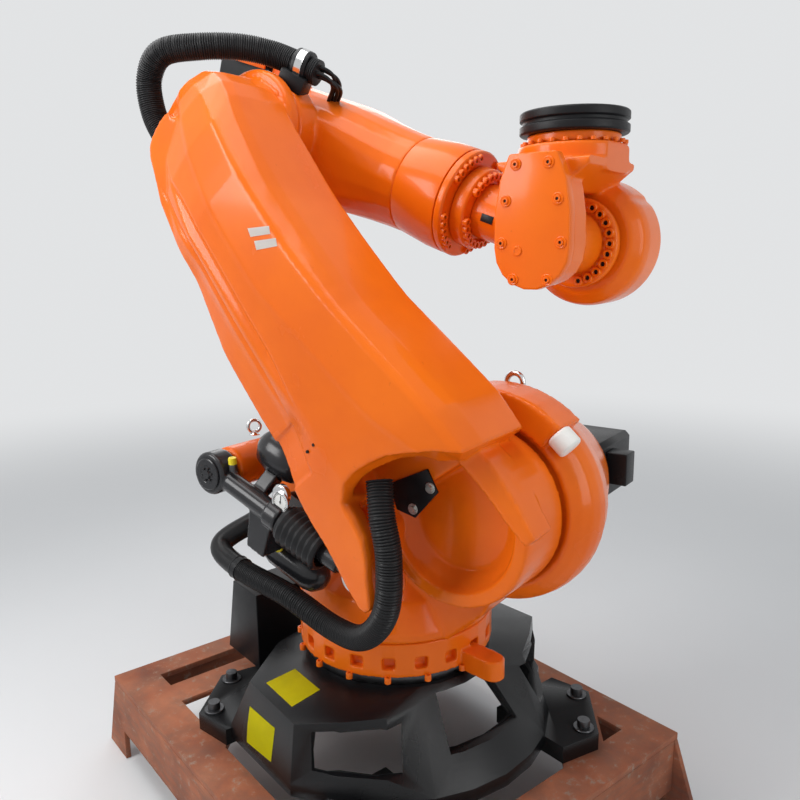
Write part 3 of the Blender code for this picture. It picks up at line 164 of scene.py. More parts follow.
def bumped(nodes, links, out, height, strength, distance):
    made = nodes.new("ShaderNodeBump")
    made.inputs["Strength"].default_value = strength
    made.inputs["Distance"].default_value = distance
    links.new(height, made.inputs["Height"])
    links.new(made.outputs["Normal"], out.inputs["Normal"])


def dusted(nodes, links, out, colour, share, dust):
    """Base colour with a little dust where the surface faces up."""
    split = nodes.new("ShaderNodeSeparateXYZ")
    links.new(nodes.new("ShaderNodeNewGeometry").outputs["Normal"], split.inputs["Vector"])
    lift = calculated(nodes, links, "MULTIPLY", split.outputs["Z"], share, True)
    links.new(mixed(nodes, links, lift, colour, dust), out.inputs["Base Color"])


def darker(colour, share):
    return tuple(c * share for c in colour)


def paint(name, colour, deep, roughness, peel, coat=0.14):
    """Enamel: broad tone variation, dull patches, faint dust on top faces and a fine orange peel."""
    made, nodes, links, out = shader(name, roughness, 0.0, coat, 0.08, 0.17)
    broad = noise(nodes, links, 2.2, 5.0)
    tone = toned(nodes, links, broad, colour, deep)
    fine = noise(nodes, links, 38.0, 6.0, 0.7)
    specks = ramp(nodes, links, fine, [(0.0, 0.0), (0.66, 0.0), (0.72, 0.25)])
    grimy = mixed(nodes, links, specks, tone, darker(deep, 0.55))
    dusted(nodes, links, out, grimy, 0.014, (0.75, 0.62, 0.5))
    roughened(nodes, links, out, broad, roughness * 0.8, roughness * 1.35)
    bumped(nodes, links, out, noise(nodes, links, 210.0, 2.0, 0.4), peel, 0.002)
    return made


def textured(name, colour, deep, roughness, grain, scale=420.0, coat=0.0):
    """Semi-gloss machine paint with a fine sprayed grain and rubbed patches."""
    made, nodes, links, out = shader(name, roughness, 0.0, coat, 0.2, 0.2)
    broad = noise(nodes, links, 3.5, 6.0)
    dusted(nodes, links, out, toned(nodes, links, broad, colour, deep), 0.012, (0.5, 0.48, 0.45))
    roughened(nodes, links, out, broad, roughness * 0.75, roughness * 1.3)
    bumped(nodes, links, out, noise(nodes, links, scale, 3.0, 0.6), grain, 0.0015)
    return made


BASE_MIDDLE = 0.15


def base_paint(name, colour, deep):
    """Glossy black with a sprayed grain outside; the inside of the casting is dull."""
    made, nodes, links, out = shader(name, 0.2, specular=0.3)
    broad = noise(nodes, links, 3.5, 6.0)
    links.new(toned(nodes, links, broad, colour, deep), out.inputs["Base Color"])
    place = nodes.new("ShaderNodeNewGeometry").outputs
    middle = BASE.to_translation() + Vector((0, 0, BASE_MIDDLE))
    away = calculated(nodes, links, "SUBTRACT", place["Position"], middle)
    outward = calculated(nodes, links, "DOT_PRODUCT", away, place["Normal"])
    inside = ranged(nodes, links, outward, 0.97, 0.0, -0.06, 0.0)
    gloss = ranged(nodes, links, broad, 0.17, 0.30)
    links.new(calculated(nodes, links, "MAXIMUM", gloss, inside), out.inputs["Roughness"])
    bumped(nodes, links, out, noise(nodes, links, 260.0, 3.0, 0.6), 0.5, 0.002)
    return made


def primer(name):
    """Rust-red primer: broad tones, grey streaks and rubbed bare spots."""
    made, nodes, links, out = shader(name, 0.78)
    stretch = nodes.new("ShaderNodeMapping")
    stretch.inputs["Scale"].default_value = (1.0, 1.0, 6.0)
    links.new(nodes.new("ShaderNodeTexCoord").outputs["Object"], stretch.inputs["Vector"])
    broad = noise(nodes, links, 3.0, 8.0, 0.65)
    streak = noise(nodes, links, 9.0, 6.0, 0.6, stretch.outputs["Vector"])
    reds = [(0.30, (0.17, 0.052, 0.030)), (0.47, (0.32, 0.105, 0.052)), (0.66, (0.47, 0.17, 0.085))]
    dirt = ramp(nodes, links, streak, [(0.35, 0.42), (0.6, 0.0)])
    dull = mixed(nodes, links, dirt, ramp(nodes, links, broad, reds), (0.12, 0.088, 0.068))
    scuff = noise(nodes, links, 24.0, 9.0, 0.75)
    bare = ramp(nodes, links, scuff, [(0.56, 0.0), (0.66, 0.7)])
    links.new(mixed(nodes, links, bare, dull, (0.30, 0.25, 0.20)), out.inputs["Base Color"])
    roughened(nodes, links, out, scuff, 0.62, 0.9)
    bumped(nodes, links, out, scuff, 0.35, 0.004)
    return made


def metal(name, colour, roughness, grain=0.15):
    made, nodes, links, out = shader(name, roughness, 1.0)
    broad = noise(nodes, links, 60.0, 5.0)
    links.new(mixed(nodes, links, broad, colour, darker(colour, 0.72)), out.inputs["Base Color"])
    roughened(nodes, links, out, broad, roughness * 0.7, roughness * 1.5)
    bumped(nodes, links, out, broad, grain, 0.0006)
    return made


def plain(name, colour, roughness, grain=0.1, specular=0.32):
    """Moulded plastic or a plain sheet."""
    made, nodes, links, out = shader(name, roughness, specular=specular)
    broad = noise(nodes, links, 14.0, 5.0)
    links.new(mixed(nodes, links, broad, colour, darker(colour, 0.8)), out.inputs["Base Color"])
    fine = noise(nodes, links, 260.0, 3.0)
    roughened(nodes, links, out, fine, roughness * 0.85, roughness * 1.15)
    bumped(nodes, links, out, fine, grain, 0.0008)
    return made


ORANGE = paint("orange_enamel_look", (0.88, 0.168, 0.005), (0.76, 0.122, 0.004), 0.22, 0.05)
BLACK = textured("black_paint_look", (0.012, 0.0125, 0.014), (0.007, 0.007, 0.008), 0.36, 0.28)
BASE_BLACK = base_paint("base_black_look", (0.0085, 0.0088, 0.0098), (0.005, 0.005, 0.0055))
GLOSS_BLACK = textured(
    "gloss_black_look", (0.014, 0.014, 0.016), (0.022, 0.022, 0.024), 0.22, 0.06, 160.0, 0.3
)
STAND = primer("stand_primer_look")
HOSE = textured("hose_look", (0.009, 0.009, 0.010), (0.017, 0.017, 0.018), 0.34, 0.12, 300.0)
STEEL = metal("zinc_steel_look", (0.62, 0.61, 0.58), 0.30)
CHROME = metal("bright_steel_look", (0.80, 0.80, 0.80), 0.12, 0.03)
DARK_STEEL = metal("dark_bolt_look", (0.10, 0.10, 0.105), 0.38)
WHITE = plain("white_buffer_look", (0.90, 0.90, 0.86), 0.42)
YELLOW = plain("yellow_cap_look", (0.86, 0.70, 0.02), 0.38)
LABEL = plain("yellow_blank_look", (1.0, 0.88, 0.01), 0.5, 0.05, specular=0.1)
PAPER = plain("white_blank_look", (0.93, 0.93, 0.90), 0.5, 0.05, specular=0.1)
DIAL = plain("dial_look", (0.86, 0.86, 0.83), 0.4, 0.02)


# Objects


def keep(obj, body, slot_name, material, *nodes):
    """Gives a piece its paint and its body, and hides the CAD nodes that it stands for; the slot name is not
    used.
    """
    obj.data.materials.clear()
    obj.data.materials.append(material)
    if nodes:
        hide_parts(*nodes)
    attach(obj, body)
    return obj


def from_bmesh(name, form, smooth=True, angle=35):
    bmesh.ops.recalc_face_normals(form, faces=form.faces)
    mesh = bpy.data.meshes.new(name)
    form.to_mesh(mesh)
    form.free()
    if smooth:
        mesh.shade_smooth()
        mesh.set_sharp_from_angle(angle=radians(angle))
    made = bpy.data.objects.new(name, mesh)
    bpy.context.scene.collection.objects.link(made)
    return made


def applied(obj):
    """The object's evaluated mesh with its modifiers applied."""
    bpy.context.view_layer.update()
    graph = bpy.context.evaluated_depsgraph_get()
    mesh = bpy.data.meshes.new_from_object(obj.evaluated_get(graph))
    obj.modifiers.clear()
    obj.data = mesh
    return obj


def copy_of(node, name):
    made = bpy.data.objects.new(name, frame["nodes"][node].data.copy())
    bpy.context.scene.collection.objects.link(made)
    made.data.materials.clear()
    form = bmesh.new()
    form.from_mesh(made.data)
    bmesh.ops.remove_doubles(form, verts=form.verts, dist=0.00001)
    bmesh.ops.recalc_face_normals(form, faces=form.faces)
    form.to_mesh(made.data)
    form.free()
    return made


def smoothed(obj, rounds):
    smooth = obj.modifiers.new("smooth", "SMOOTH")
    smooth.factor = 0.5
    smooth.iterations = rounds
    applied(obj)


def cast(node, voxel, rounds, material, slot_name, shape=None, after=3, share=1.0, added=None):
    """A casting's skin: the solid remeshed finely, so that edges and corners become soft cast radii."""
    made = copy_of(node, node + "_skin")
    if added is not None:
        added(made)
    step = made.modifiers.new("remesh", "REMESH")
    step.mode = "VOXEL"
    step.voxel_size = voxel
    smoothed(made, rounds)
    if shape is not None:
        shape(made)
        smoothed(made, after)
    if share < 1:
        fewer = made.modifiers.new("fewer", "DECIMATE")
        fewer.ratio = share
        applied(made)
    made.data.shade_smooth()
    return keep(made, BODY_OF[node], slot_name, material, node)


def edged(node, width, material, slot_name, segments=3, angle=38):
    """A plain piece with its edges rounded."""
    made = copy_of(node, node + "_skin")
    limit = made.modifiers.new("edge", "BEVEL")
    limit.width = width
    limit.segments = segments
    limit.limit_method = "ANGLE"
    limit.angle_limit = radians(angle)
    applied(made)
    made.data.shade_smooth()
    made.data.set_sharp_from_angle(angle=radians(50))
    return keep(made, BODY_OF[node], slot_name, material, node)


def axes_to(direction):
    """Rotation that takes +Z to a direction."""
    return Vector(direction).to_track_quat("Z", "Y").to_matrix().to_4x4()


def rings_into(form, rings):
    """Joins rings of points into a closed form."""
    rows = [[form.verts.new(p) for p in ring] for ring in rings]
    for low, high in zip(rows, rows[1:]):
        n = len(low)
        for i in range(n):
            form.faces.new((low[i], low[(i + 1) % n], high[(i + 1) % n], high[i]))
    form.faces.new(list(reversed(rows[0])))
    form.faces.new(rows[-1])


def turned_ring(matrix, radius, height, steps, sides=0):
    """One ring of a turned form; with sides it follows a polygon."""
    ring = []
    for i in range(steps):
        t = 2 * pi * i / steps
        r = radius
        if sides:
            part = pi / sides
            r = radius * cos(part) / cos((t + part) % (2 * part) - part)
        ring.append(matrix @ Vector((r * cos(t), r * sin(t), height)))
    return ring


def socket_bolt(form, matrix, radius, height, steps=18):
    """Socket-head screw seen from outside: chamfered head with a hexagon hole."""
    rings = [
        turned_ring(matrix, radius, 0, steps),
        turned_ring(matrix, radius, height * 0.86, steps),
        turned_ring(matrix, radius * 0.9, height, steps),
        turned_ring(matrix, radius * 0.62, height, steps, 6),
        turned_ring(matrix, radius * 0.56, height * 0.93, steps, 6),
        turned_ring(matrix, radius * 0.54, height * 0.35, steps, 6),
    ]
    rings_into(form, rings)


def hex_bolt(form, matrix, radius, height, steps=18):
    """Hexagon screw on its washer."""
    below = [
        turned_ring(matrix, radius * 1.5, 0, steps),
        turned_ring(matrix, radius * 1.5, height * 0.16, steps),
        turned_ring(matrix, radius * 1.42, height * 0.24, steps),
        turned_ring(matrix, radius * 0.7, height * 0.24, steps),
    ]
    head = [
        turned_ring(matrix, radius, height * 0.2, steps, 6),
        turned_ring(matrix, radius, height * 0.9, steps, 6),
        turned_ring(matrix, radius * 0.86, height, steps),
        turned_ring(matrix, radius * 0.5, height, steps),
    ]
    rings_into(form, below)
    rings_into(form, head)


def bolt_set(name, body, material, slot_name, places, kind=socket_bolt):
    """Many fasteners as one piece; each place is a matrix, a radius and a height."""
    form = bmesh.new()
    for matrix, radius, height in places:
        kind(form, matrix, radius, height)
    made = from_bmesh(name, form, True, 30)
    # Socket screws get a black hexagon block in each socket: painted shade at the bottom of the hexagon
    # hole.
    if kind is socket_bolt:
        socket_shade = bmesh.new()
        for matrix, radius, height in places:
            rings_into(socket_shade, [turned_ring(matrix, radius * 0.53, height * h, 18, 6) for h in (0.2, 0.42)])
        keep(from_bmesh(name + "_pits", socket_shade, False), body, "black_enamel", BLACK)
    return keep(made, body, slot_name, material)


WAYS = {"X": (1, 0, 0), "Y": (0, 1, 0), "-Y": (0, -1, 0), "Z": (0, 0, 1)}


def circle_places(base, centre, along, radius, angles, size, height):
    """Places on a bolt circle whose axis is X, Y, -Y or Z of the given frame."""
    made = []
    for degrees in angles:
        t = radians(degrees)
        a, b = radius * cos(t), radius * sin(t)
        spot = {"X": (0, a, b), "Z": (a, b, 0)}.get(along, (a, 0, b))
        place = base @ Matrix.Translation(Vector(centre) + Vector(spot)) @ axes_to(WAYS[along])
        made.append((place, size, height))
    return made


def fan(starts, step, count):
    """Angles in runs: so many from each start, all with the same step."""
    return [start + k * step for start in starts for k in range(count)]


# Tubes along a route


ROUTE_STEPS = 60


def smooth_points(points, spacing):
    """Evenly spaced points of a smooth curve through the given ones."""
    knots = [Vector(p) for p in points]
    knots = [2 * knots[0] - knots[1]] + knots + [2 * knots[-1] - knots[-2]]
    dense = []
    for a, b, c, d in zip(knots, knots[1:], knots[2:], knots[3:]):
        for i in range(ROUTE_STEPS):
            t = i / ROUTE_STEPS
            square, cube = 2 * a - 5 * b + 4 * c - d, 3 * b - a - 3 * c + d
            dense.append(0.5 * (2 * b + (c - a) * t + square * t * t + cube * t * t * t))
    dense.append(knots[-2])
    walked = [0.0]
    for p, q in zip(dense, dense[1:]):
        walked.append(walked[-1] + (q - p).length)
    count = max(2, round(walked[-1] / spacing))
    spots = np.linspace(0, walked[-1], count + 1)
    table = np.array(dense)
    return [Vector([float(np.interp(s, walked, table[:, i])) for i in range(3)]) for s in spots]


def swept(name, points, radius_at, steps=28):
    """Tube whose radius is a function of the distance walked, with closed ends."""
    form = bmesh.new()
    normal = None
    rings, walked = [], 0.0
    for i, p in enumerate(points):
        ahead = points[min(i + 1, len(points) - 1)] - points[max(i - 1, 0)]
        ahead.normalize()
        if normal is None:
            normal = ahead.orthogonal().normalized()
        normal = (normal - ahead * normal.dot(ahead)).normalized()
        other = ahead.cross(normal)
        if i:
            walked += (p - points[i - 1]).length
        r = radius_at(walked)
        turns = [2 * pi * k / steps for k in range(steps)]
        rings.append([p + normal * (r * cos(t)) + other * (r * sin(t)) for t in turns])
    rings_into(form, rings)
    return from_bmesh(name, form, True, 60)


def ribs(outer, depth, pitch):
    """Radius of a corrugated hose: rounded crests with narrow valleys."""

    def radius_at(s):
        phase = (s / pitch) % 1.0
        crest = 0.5 - 0.5 * cos(2 * pi * phase)
        return outer - depth * (1 - crest**0.55)

    return radius_at


def in_frame(matrix, points):
    return [matrix @ Vector(p) for p in points]


# Camera, light and floor


CAMERA_ANGLES = (-50.9079, 11.091, -0.6966)
CAMERA_SPOT = (2.0487, -1.6344, 1.7252)
FOCAL_PIXELS = 774.576
PICTURE_PIXELS = 800
SENSOR = 36


def camera():
    """Camera fitted to the photograph, given in the frame of the base."""
    yaw, pitch, roll = (radians(angle) for angle in CAMERA_ANGLES)
    ahead = Vector((sin(yaw) * cos(pitch), cos(yaw) * cos(pitch), -sin(pitch)))
    right = Vector((cos(yaw), -sin(yaw), 0))
    up = right.cross(ahead)
    r = right * cos(roll) + up * sin(roll)
    u = up * cos(roll) - right * sin(roll)
    rows = [(r[i], u[i], -ahead[i], CAMERA_SPOT[i]) for i in range(3)]
    pose = Matrix(rows + [(0, 0, 0, 1)])
    eye = bpy.data.cameras.new("camera")
    eye.sensor_width = SENSOR
    eye.lens = FOCAL_PIXELS / PICTURE_PIXELS * SENSOR
    eye.clip_end = 100
    made = bpy.data.objects.new("camera", eye)
    bpy.context.scene.collection.objects.link(made)
    made.matrix_world = BASE @ pose
    bpy.context.scene.camera = made


LAMP_TARGET = Vector((0, 0, 1.3))


def lamp(name, spot, size, power):
    light = bpy.data.lights.new(name, "AREA")
    light.shape = "RECTANGLE"
    light.size, light.size_y = size
    light.energy = power
    made = bpy.data.objects.new(name, light)
    bpy.context.scene.collection.objects.link(made)
    made.location = spot
    made.rotation_euler = (LAMP_TARGET - Vector(spot)).to_track_quat("-Z", "Y").to_euler()


FLOOR_CLEAR = 2.2
FLOOR_GONE = 9.0
BACKDROP = (0.76, 0.77, 0.78)


def floor_look():
    """Pale floor that keeps the shadow near the object and fades into the backdrop's colour far out."""
    made, nodes, links, out = shader("floor_look", 0.85)
    soft = noise(nodes, links, 1.2, 4.0)
    tone = mixed(nodes, links, soft, (0.80, 0.805, 0.81), (0.77, 0.775, 0.78))
    links.new(tone, out.inputs["Base Color"])
    far = nodes.new("ShaderNodeEmission")
    far.inputs["Color"].default_value = (*BACKDROP, 1)
    place = nodes.new("ShaderNodeNewGeometry")
    away = nodes.new("ShaderNodeVectorMath")
    away.operation = "LENGTH"
    links.new(place.outputs["Position"], away.inputs[0])
    fade = nodes.new("ShaderNodeMapRange")
    fade.interpolation_type = "SMOOTHSTEP"
    fade.inputs["From Min"].default_value = FLOOR_CLEAR
    fade.inputs["From Max"].default_value = FLOOR_GONE
    links.new(away.outputs["Value"], fade.inputs["Value"])
    blend = nodes.new("ShaderNodeMixShader")
    links.new(fade.outputs["Result"], blend.inputs[0])
    links.new(out.outputs["BSDF"], blend.inputs[1])
    links.new(far.outputs["Emission"], blend.inputs[2])
    links.new(blend.outputs[0], nodes["Material Output"].inputs["Surface"])
    return made


def stage():
    """Floor, world and lamps of a plain studio."""
    form = bmesh.new()
    bmesh.ops.create_grid(form, x_segments=1, y_segments=1, size=40)
    floor = from_bmesh("floor", form, False)
    floor.location = (0, 0, -0.001)
    floor.data.materials.append(floor_look())
    world = bpy.data.worlds.new("studio")
    bpy.context.scene.world = world
    world.use_nodes = True
    nodes, links = world.node_tree.nodes, world.node_tree.links
    back = nodes["Background"]
    back.inputs["Color"].default_value = (0.80, 0.84, 0.88, 1)
    back.inputs["Strength"].default_value = 0.4
    seen = nodes.new("ShaderNodeBackground")
    seen.inputs["Color"].default_value = (*BACKDROP, 1)
    seen.inputs["Strength"].default_value = 1.0
    path = nodes.new("ShaderNodeLightPath")
    shows = path.outputs["Is Camera Ray"]
    for ray in ("Is Glossy Ray", "Is Transmission Ray"):
        shows = calculated(nodes, links, "MAXIMUM", shows, path.outputs[ray])
    mix = nodes.new("ShaderNodeMixShader")
    links.new(shows, mix.inputs[0])
    links.new(back.outputs[0], mix.inputs[1])
    links.new(seen.outputs[0], mix.inputs[2])
    links.new(mix.outputs[0], nodes["World Output"].inputs["Surface"])
    lamp("overhead", (-0.2, -0.9, 4.6), (3.4, 2.2), 84)
    lamp("front_left", (-1.0, -3.9, 3.5), (1.8, 2.0), 105)
    lamp("front_right", (4.0, 0.6, 2.4), (1.2, 2.6), 36)
    lamp("back", (-3.0, 2.0, 3.2), (2.4, 1.6), 20)
    view = bpy.context.scene.view_settings
    view.view_transform = "Standard"


# Castings


def local(obj, matrix):
    """Points and normals of a piece in the given frame, as arrays."""
    count = len(obj.data.vertices)
    co = np.empty(count * 3)
    obj.data.vertices.foreach_get("co", co)
    normals = np.empty(count * 3)
    obj.data.vertex_normals.foreach_get("vector", normals)
    m = np.array(matrix.inverted())
    co, normals = co.reshape(-1, 3), normals.reshape(-1, 3)
    return co, normals, co @ m[:3, :3].T + m[:3, 3], normals @ m[:3, :3].T


def push(obj, co, normals, amount):
    """Moves every point along its normal."""
    obj.data.vertices.foreach_set("co", (co + normals * amount[:, None]).ravel())
    obj.data.update()


def smoothstep(low, high, value):
    t = np.clip((value - low) / (high - low), 0, 1)
    return t * t * (3 - 2 * t)


def shape_link_arm(obj):
    """Rear strip that falls back, its long pointed grooves and a shallow step with a squared upper end."""
    co, normals, p, n = local(obj, A2)
    v, y, u = p[:, 0], p[:, 1], p[:, 2]
    near = smoothstep(0.1, 0.5, -n[:, 1])
    line = -0.135 - 0.075 * (u - 0.6)
    back = smoothstep(0.0, 0.14, line + 0.02 - v) * smoothstep(0.30, 0.46, u)
    back *= 1 - smoothstep(0.98, 1.16, u)
    back *= smoothstep(0.44, 0.52, -y)
    inward = np.array(A2.to_3x3())[:, 1]
    co = co + inward[None, :] * (0.03 * back)[:, None]
    amount = np.zeros(len(co))
    for offset, width, depth in ((0.0, 0.027, 0.016), (-0.066, 0.019, 0.012)):
        along = smoothstep(0.44, 0.66, u) * (1 - smoothstep(1.10, 1.34, u))
        away = np.abs(v - (line + offset) - 0.02 * np.sin(2.2 * (u - 0.6)))
        half = width * (0.2 + 0.8 * along)
        amount -= depth * along * np.clip(1 - away / half, 0, 1) * near
    in_step = smoothstep(0.30, 0.312, u) * (1 - smoothstep(0.454, 0.460, u))
    in_step *= smoothstep(-0.353, -0.345, v) * (1 - smoothstep(-0.213, -0.205, v))
    amount -= 0.007 * in_step * near
    push(obj, co, normals, amount)


ELBOW_WALL = (
    (-0.338, 0.92),
    (-0.324, 1.02),
    (-0.306, 1.15),
    (-0.288, 1.27),
    (-0.253, 1.355),
    (-0.238, 1.40),
    (-0.216, 1.428),
    (-0.18, 1.44),
    (-0.12, 1.448),
    (-0.08, 1.44),
    (-0.08, 0.92),
)


def elbow_wall(obj):
    """Joins the near wall that covers the hose's channel behind the elbow."""
    form = bmesh.new()
    form.from_mesh(obj.data)
    rows = ((-0.567, 0.024), (-0.545, 0.0), (-0.526, 0.002))
    rings_into(form, [[A2 @ Vector((v + inset, y, u)) for v, u in ELBOW_WALL] for y, inset in rows])
    form.to_mesh(obj.data)
    form.free()


def shape_fork(obj):
    """Takes the corners of the fork's head in to the ring above it."""
    co, normals, p, _ = local(obj, A5)
    x, z = p[:, 0], p[:, 2]
    over = np.clip(np.abs(x) - 0.130, 0, None) * smoothstep(0.10, 0.135, z)
    across = np.array(A5.to_3x3())[:, 0]
    co = co - across[None, :] * (np.sign(x) * over)[:, None]
    push(obj, co, normals, np.zeros(len(co)))


MOTORS = ("axis_1_motor", "axis_2_motor", "axis_2_motor_plug")
MOTORS += ("axis_4_motor", "axis_5_motor", "axis_6_motor")
STAND_PARTS = ("stand_top_plate", "stand_side_left", "stand_side_right")
STAND_PARTS += ("stand_rear_beam", "stand_front_beam")


def castings():
    """Skins that stand for the CAD nodes."""
    cast("link_arm", 0.0055, 4, ORANGE, "orange_enamel", shape_link_arm, 1, 0.68, elbow_wall)
    cast("column_casting", 0.006, 5, ORANGE, "orange_enamel", share=0.6)
    cast("upper_arm_casting", 0.0055, 7, ORANGE, "orange_enamel")
    cast("wrist_fork", 0.004, 14, ORANGE, "orange_enamel", shape_fork, 8, 0.75)
    cast("wrist_neck", 0.004, 4, ORANGE, "orange_enamel")
    edged("base_casting", 0.005, BASE_BLACK, "black_enamel")
    cast("column_crown", 0.004, 2, ORANGE, "orange_enamel", share=0.6)
    cast("counterbalance_cylinder", 0.0035, 4, GLOSS_BLACK, "black_enamel")
    for node in ("upper_arm_tube", "upper_arm_flange", "wrist_roll_flange", "wrist_drum_cover", "tool_ring"):
        edged(node, 0.003, ORANGE, "orange_enamel")
    edged("wrist_cover", 0.007, ORANGE, "orange_enamel", 4)
    edged("motor_guard", 0.0012, ORANGE, "orange_enamel", 2)
    edged("tool_disc", 0.002, BLACK, "black_enamel")
    for node in ("front_tank", "rear_tank"):
        edged(node, 0.002, GLOSS_BLACK, "black_enamel", 2)
    for node in MOTORS + ("connection_box", "connection_box_door"):
        edged(node, 0.004, BLACK, "black_enamel")
    edged("cable_plate", 0.0015, BLACK, "black_enamel", 2)
    edged("counterbalance_bellows", 0.0008, HOSE, "hose_rubber", 1)
    edged("counterbalance_rod", 0.001, STEEL, "bare_steel", 2)
    edged("counterbalance_gauge", 0.002, CHROME, "bare_steel")
    edged("column_buffer", 0.004, WHITE, "white_buffer")
    edged("axis_1_bearing", 0.001, DARK_STEEL, "bare_steel", 1)
    edged("axis_1_gear_unit", 0.002, DARK_STEEL, "bare_steel", 1)
    for node in STAND_PARTS:
        edged(node, 0.0025, STAND, "stand_primer", 2)


# Fasteners


FLANGE_FACE = 0.657
ROLL_FACE = 0.7075
COVER_FACE = -0.2498
COVER_RING = ((0.0155, 0), (0.0155, 0.0025), (0.0135, 0.004), (0.0115, 0.0032))


def flange_bolts():
    """Screws of the flanges between the forearm and the wrist's fork."""
    flange, roll = fan((15, 105, 195, 285), 9.0, 6), fan((20, 200), 13.0, 11)
    cross = fan((-60, 120), 15.5, 10)
    rows = (
        ("upper_arm_flange_bolts", "upper_arm", A4, (FLANGE_FACE, 0, 0), "X", 0.146, flange, 0.0118, 0.011),
        ("wrist_roll_bolts", "wrist_roll", A4, (ROLL_FACE, 0, 0), "X", 0.104, roll, 0.0130, 0.014),
        ("wrist_cross_bolts", "wrist_roll", A4, (1.005, 0.0235, 0), "-Y", 0.109, cross, 0.0138, 0.014),
    )
    for name, body, *circle in rows:
        bolt_set(name, body, ORANGE, "orange_enamel", circle_places(*circle))


def cover_bolts():
    """Screws of the wrist cover in their raised rings."""
    pairs = ((0.046, 0.198), (0.0735, 0.108), (0.0845, 0.0), (0.049, -0.094))
    spots = [A5 @ moved(way * a, COVER_FACE, h) @ axes_to(NEAR) for a, h in pairs for way in (-1, 1)]
    rings = bmesh.new()
    for spot in spots:
        rings_into(rings, [turned_ring(spot, r, h, 24) for r, h in COVER_RING])
    keep(from_bmesh("wrist_cover_rings", rings), "wrist_pitch", "orange_enamel", ORANGE)
    heads = [(spot, 0.0085, 0.008) for spot in spots]
    bolt_set("wrist_cover_bolts", "wrist_pitch", ORANGE, "orange_enamel", heads)


def drum_bolts():
    """Screws of the wrist's drum and of the tool ring."""
    drum, top = fan((10, 100, 190, 280), 9, 6), fan((0,), 15, 24)
    rows = (
        ("wrist_drum_bolts", "wrist_pitch", A5, (0, 0.2655, 0), "Y", 0.14, drum, 0.0085, 0.008),
        ("tool_ring_bolts", "tool_flange", A5, (0, 0, 0.2625), "Z", 0.139, top, 0.0075, 0.009),
    )
    for name, body, *circle in rows:
        bolt_set(name, body, ORANGE, "orange_enamel", circle_places(*circle))


FOOT_FAR = 0.545
FOOT_CLOSE = 0.40
FOOT_TOP = 0.062


def base_bolts():
    """Pairs of hexagon screws on the base's four feet."""
    bolts = []
    for way_x in (-1, 1):
        for way_y in (-1, 1):
            for a, b in ((FOOT_FAR, FOOT_CLOSE), (FOOT_CLOSE, FOOT_FAR)):
                bolts.append((BASE @ moved(way_x * a, way_y * b, FOOT_TOP), 0.0245, 0.034))
    bolt_set("base_bolts", "base", DARK_STEEL, "bare_steel", bolts, hex_bolt)


def lifting_eye(name, body, matrix, radius, thickness):
    """Lifting eye on a threaded collar."""
    form = bmesh.new()
    steps, sides = 36, 12
    rows = []
    for i in range(steps):
        t = 2 * pi * i / steps
        row = []
        for k in range(sides):
            q = 2 * pi * k / sides
            r = radius + thickness * cos(q)
            spot = Vector((r * cos(t), thickness * sin(q), radius * 1.45 + r * sin(t)))
            row.append(form.verts.new(matrix @ spot))
        rows.append(row)
    for i in range(steps):
        low, high = rows[i], rows[(i + 1) % steps]
        for k in range(sides):
            form.faces.new((low[k], low[(k + 1) % sides], high[(k + 1) % sides], high[k]))
    rings_into(
        form,
        [
            turned_ring(matrix, radius * 0.85, 0, 28),
            turned_ring(matrix, radius * 0.88, thickness * 0.5, 28),
            turned_ring(matrix, radius * 0.6, thickness * 1.2, 28),
            turned_ring(matrix, radius * 0.4, thickness * 1.9, 28),
        ],
    )
    keep(from_bmesh(name, form, True, 60), body, "bare_steel", CHROME)


# Hoses

LOWER_ROUTE = [
    (-0.33, -0.1605, 0.83),
    (-0.33, -0.20, 0.83),
    (-0.38, -0.31, 0.79),
    (-0.437, -0.42, 0.725),
    (-0.308, -0.46, 0.685),
    (-0.052, -0.49, 0.665),
    (0.15, -0.51, 0.625),
    (0.29, -0.54, 0.65),
    (0.385, -0.56, 0.76),
    (0.40, -0.562, 0.916),
    (0.378, -0.56, 1.03),
    (0.352, -0.535, 1.12),
]
UPPER_ROUTE = [
    (-0.38021, -0.46, 1.874),
    (-0.3994, -0.46, 1.9004),
    (-0.46, -0.465, 1.985),
    (-0.52, -0.475, 2.07),
    (-0.56, -0.485, 2.15),
    (-0.565, -0.49, 2.25),
    (-0.51, -0.48, 2.32),
    (-0.41, -0.42, 2.335),
    (-0.325, -0.33, 2.338),
    (-0.26, -0.262, 2.322),
    (-0.19, -0.225, 2.29),
    (-0.12, -0.20, 2.255),
]


def hoses():
    points = smooth_points(LOWER_ROUTE, 0.00125)
    smooth_end = 0.46
    wave = ribs(0.0372, 0.0042, 0.0080)

    def lower(s):
        if s < smooth_end:
            return 0.0365
        return wave(s) if s > smooth_end + 0.004 else 0.0325

    hose = swept("lower_hose", in_frame(A1, points), lower, 30)
    hose.data.materials.append(HOSE)
    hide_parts("hose_lower")
    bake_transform(hose)
    points = smooth_points(UPPER_ROUTE, 0.00125)
    hose = swept("upper_hose", in_frame(A1, points), ribs(0.0395, 0.0036, 0.0066), 30)
    hose.data.materials.append(HOSE)
    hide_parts("hose_upper")
    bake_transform(hose)


# Small fittings

TUBE_CAP = (-0.258, -0.505, 1.045)
TANK_CAP = (-0.160, -0.405, 0.776)
LOWER_CLAMP = (-0.30, -0.461, 0.684)
LOWER_CLAMP_WAY = (0.26, -0.035, -0.04)
UPPER_CLAMP = (-0.165, -0.217, 2.279)
UPPER_CLAMP_WAY = (0.14, 0.06, -0.067)
UPPER_BLOCK = (-0.20, -0.235, 2.215)


def turned_piece(name, matrix, profile, body, slot_name, material, steps=32):
    """Turned piece: pairs of radius and height along the matrix's own Z."""
    form = bmesh.new()
    rings_into(form, [turned_ring(matrix, r, h, steps) for r, h in profile])
    return keep(from_bmesh(name, form, True, 30), body, slot_name, material)


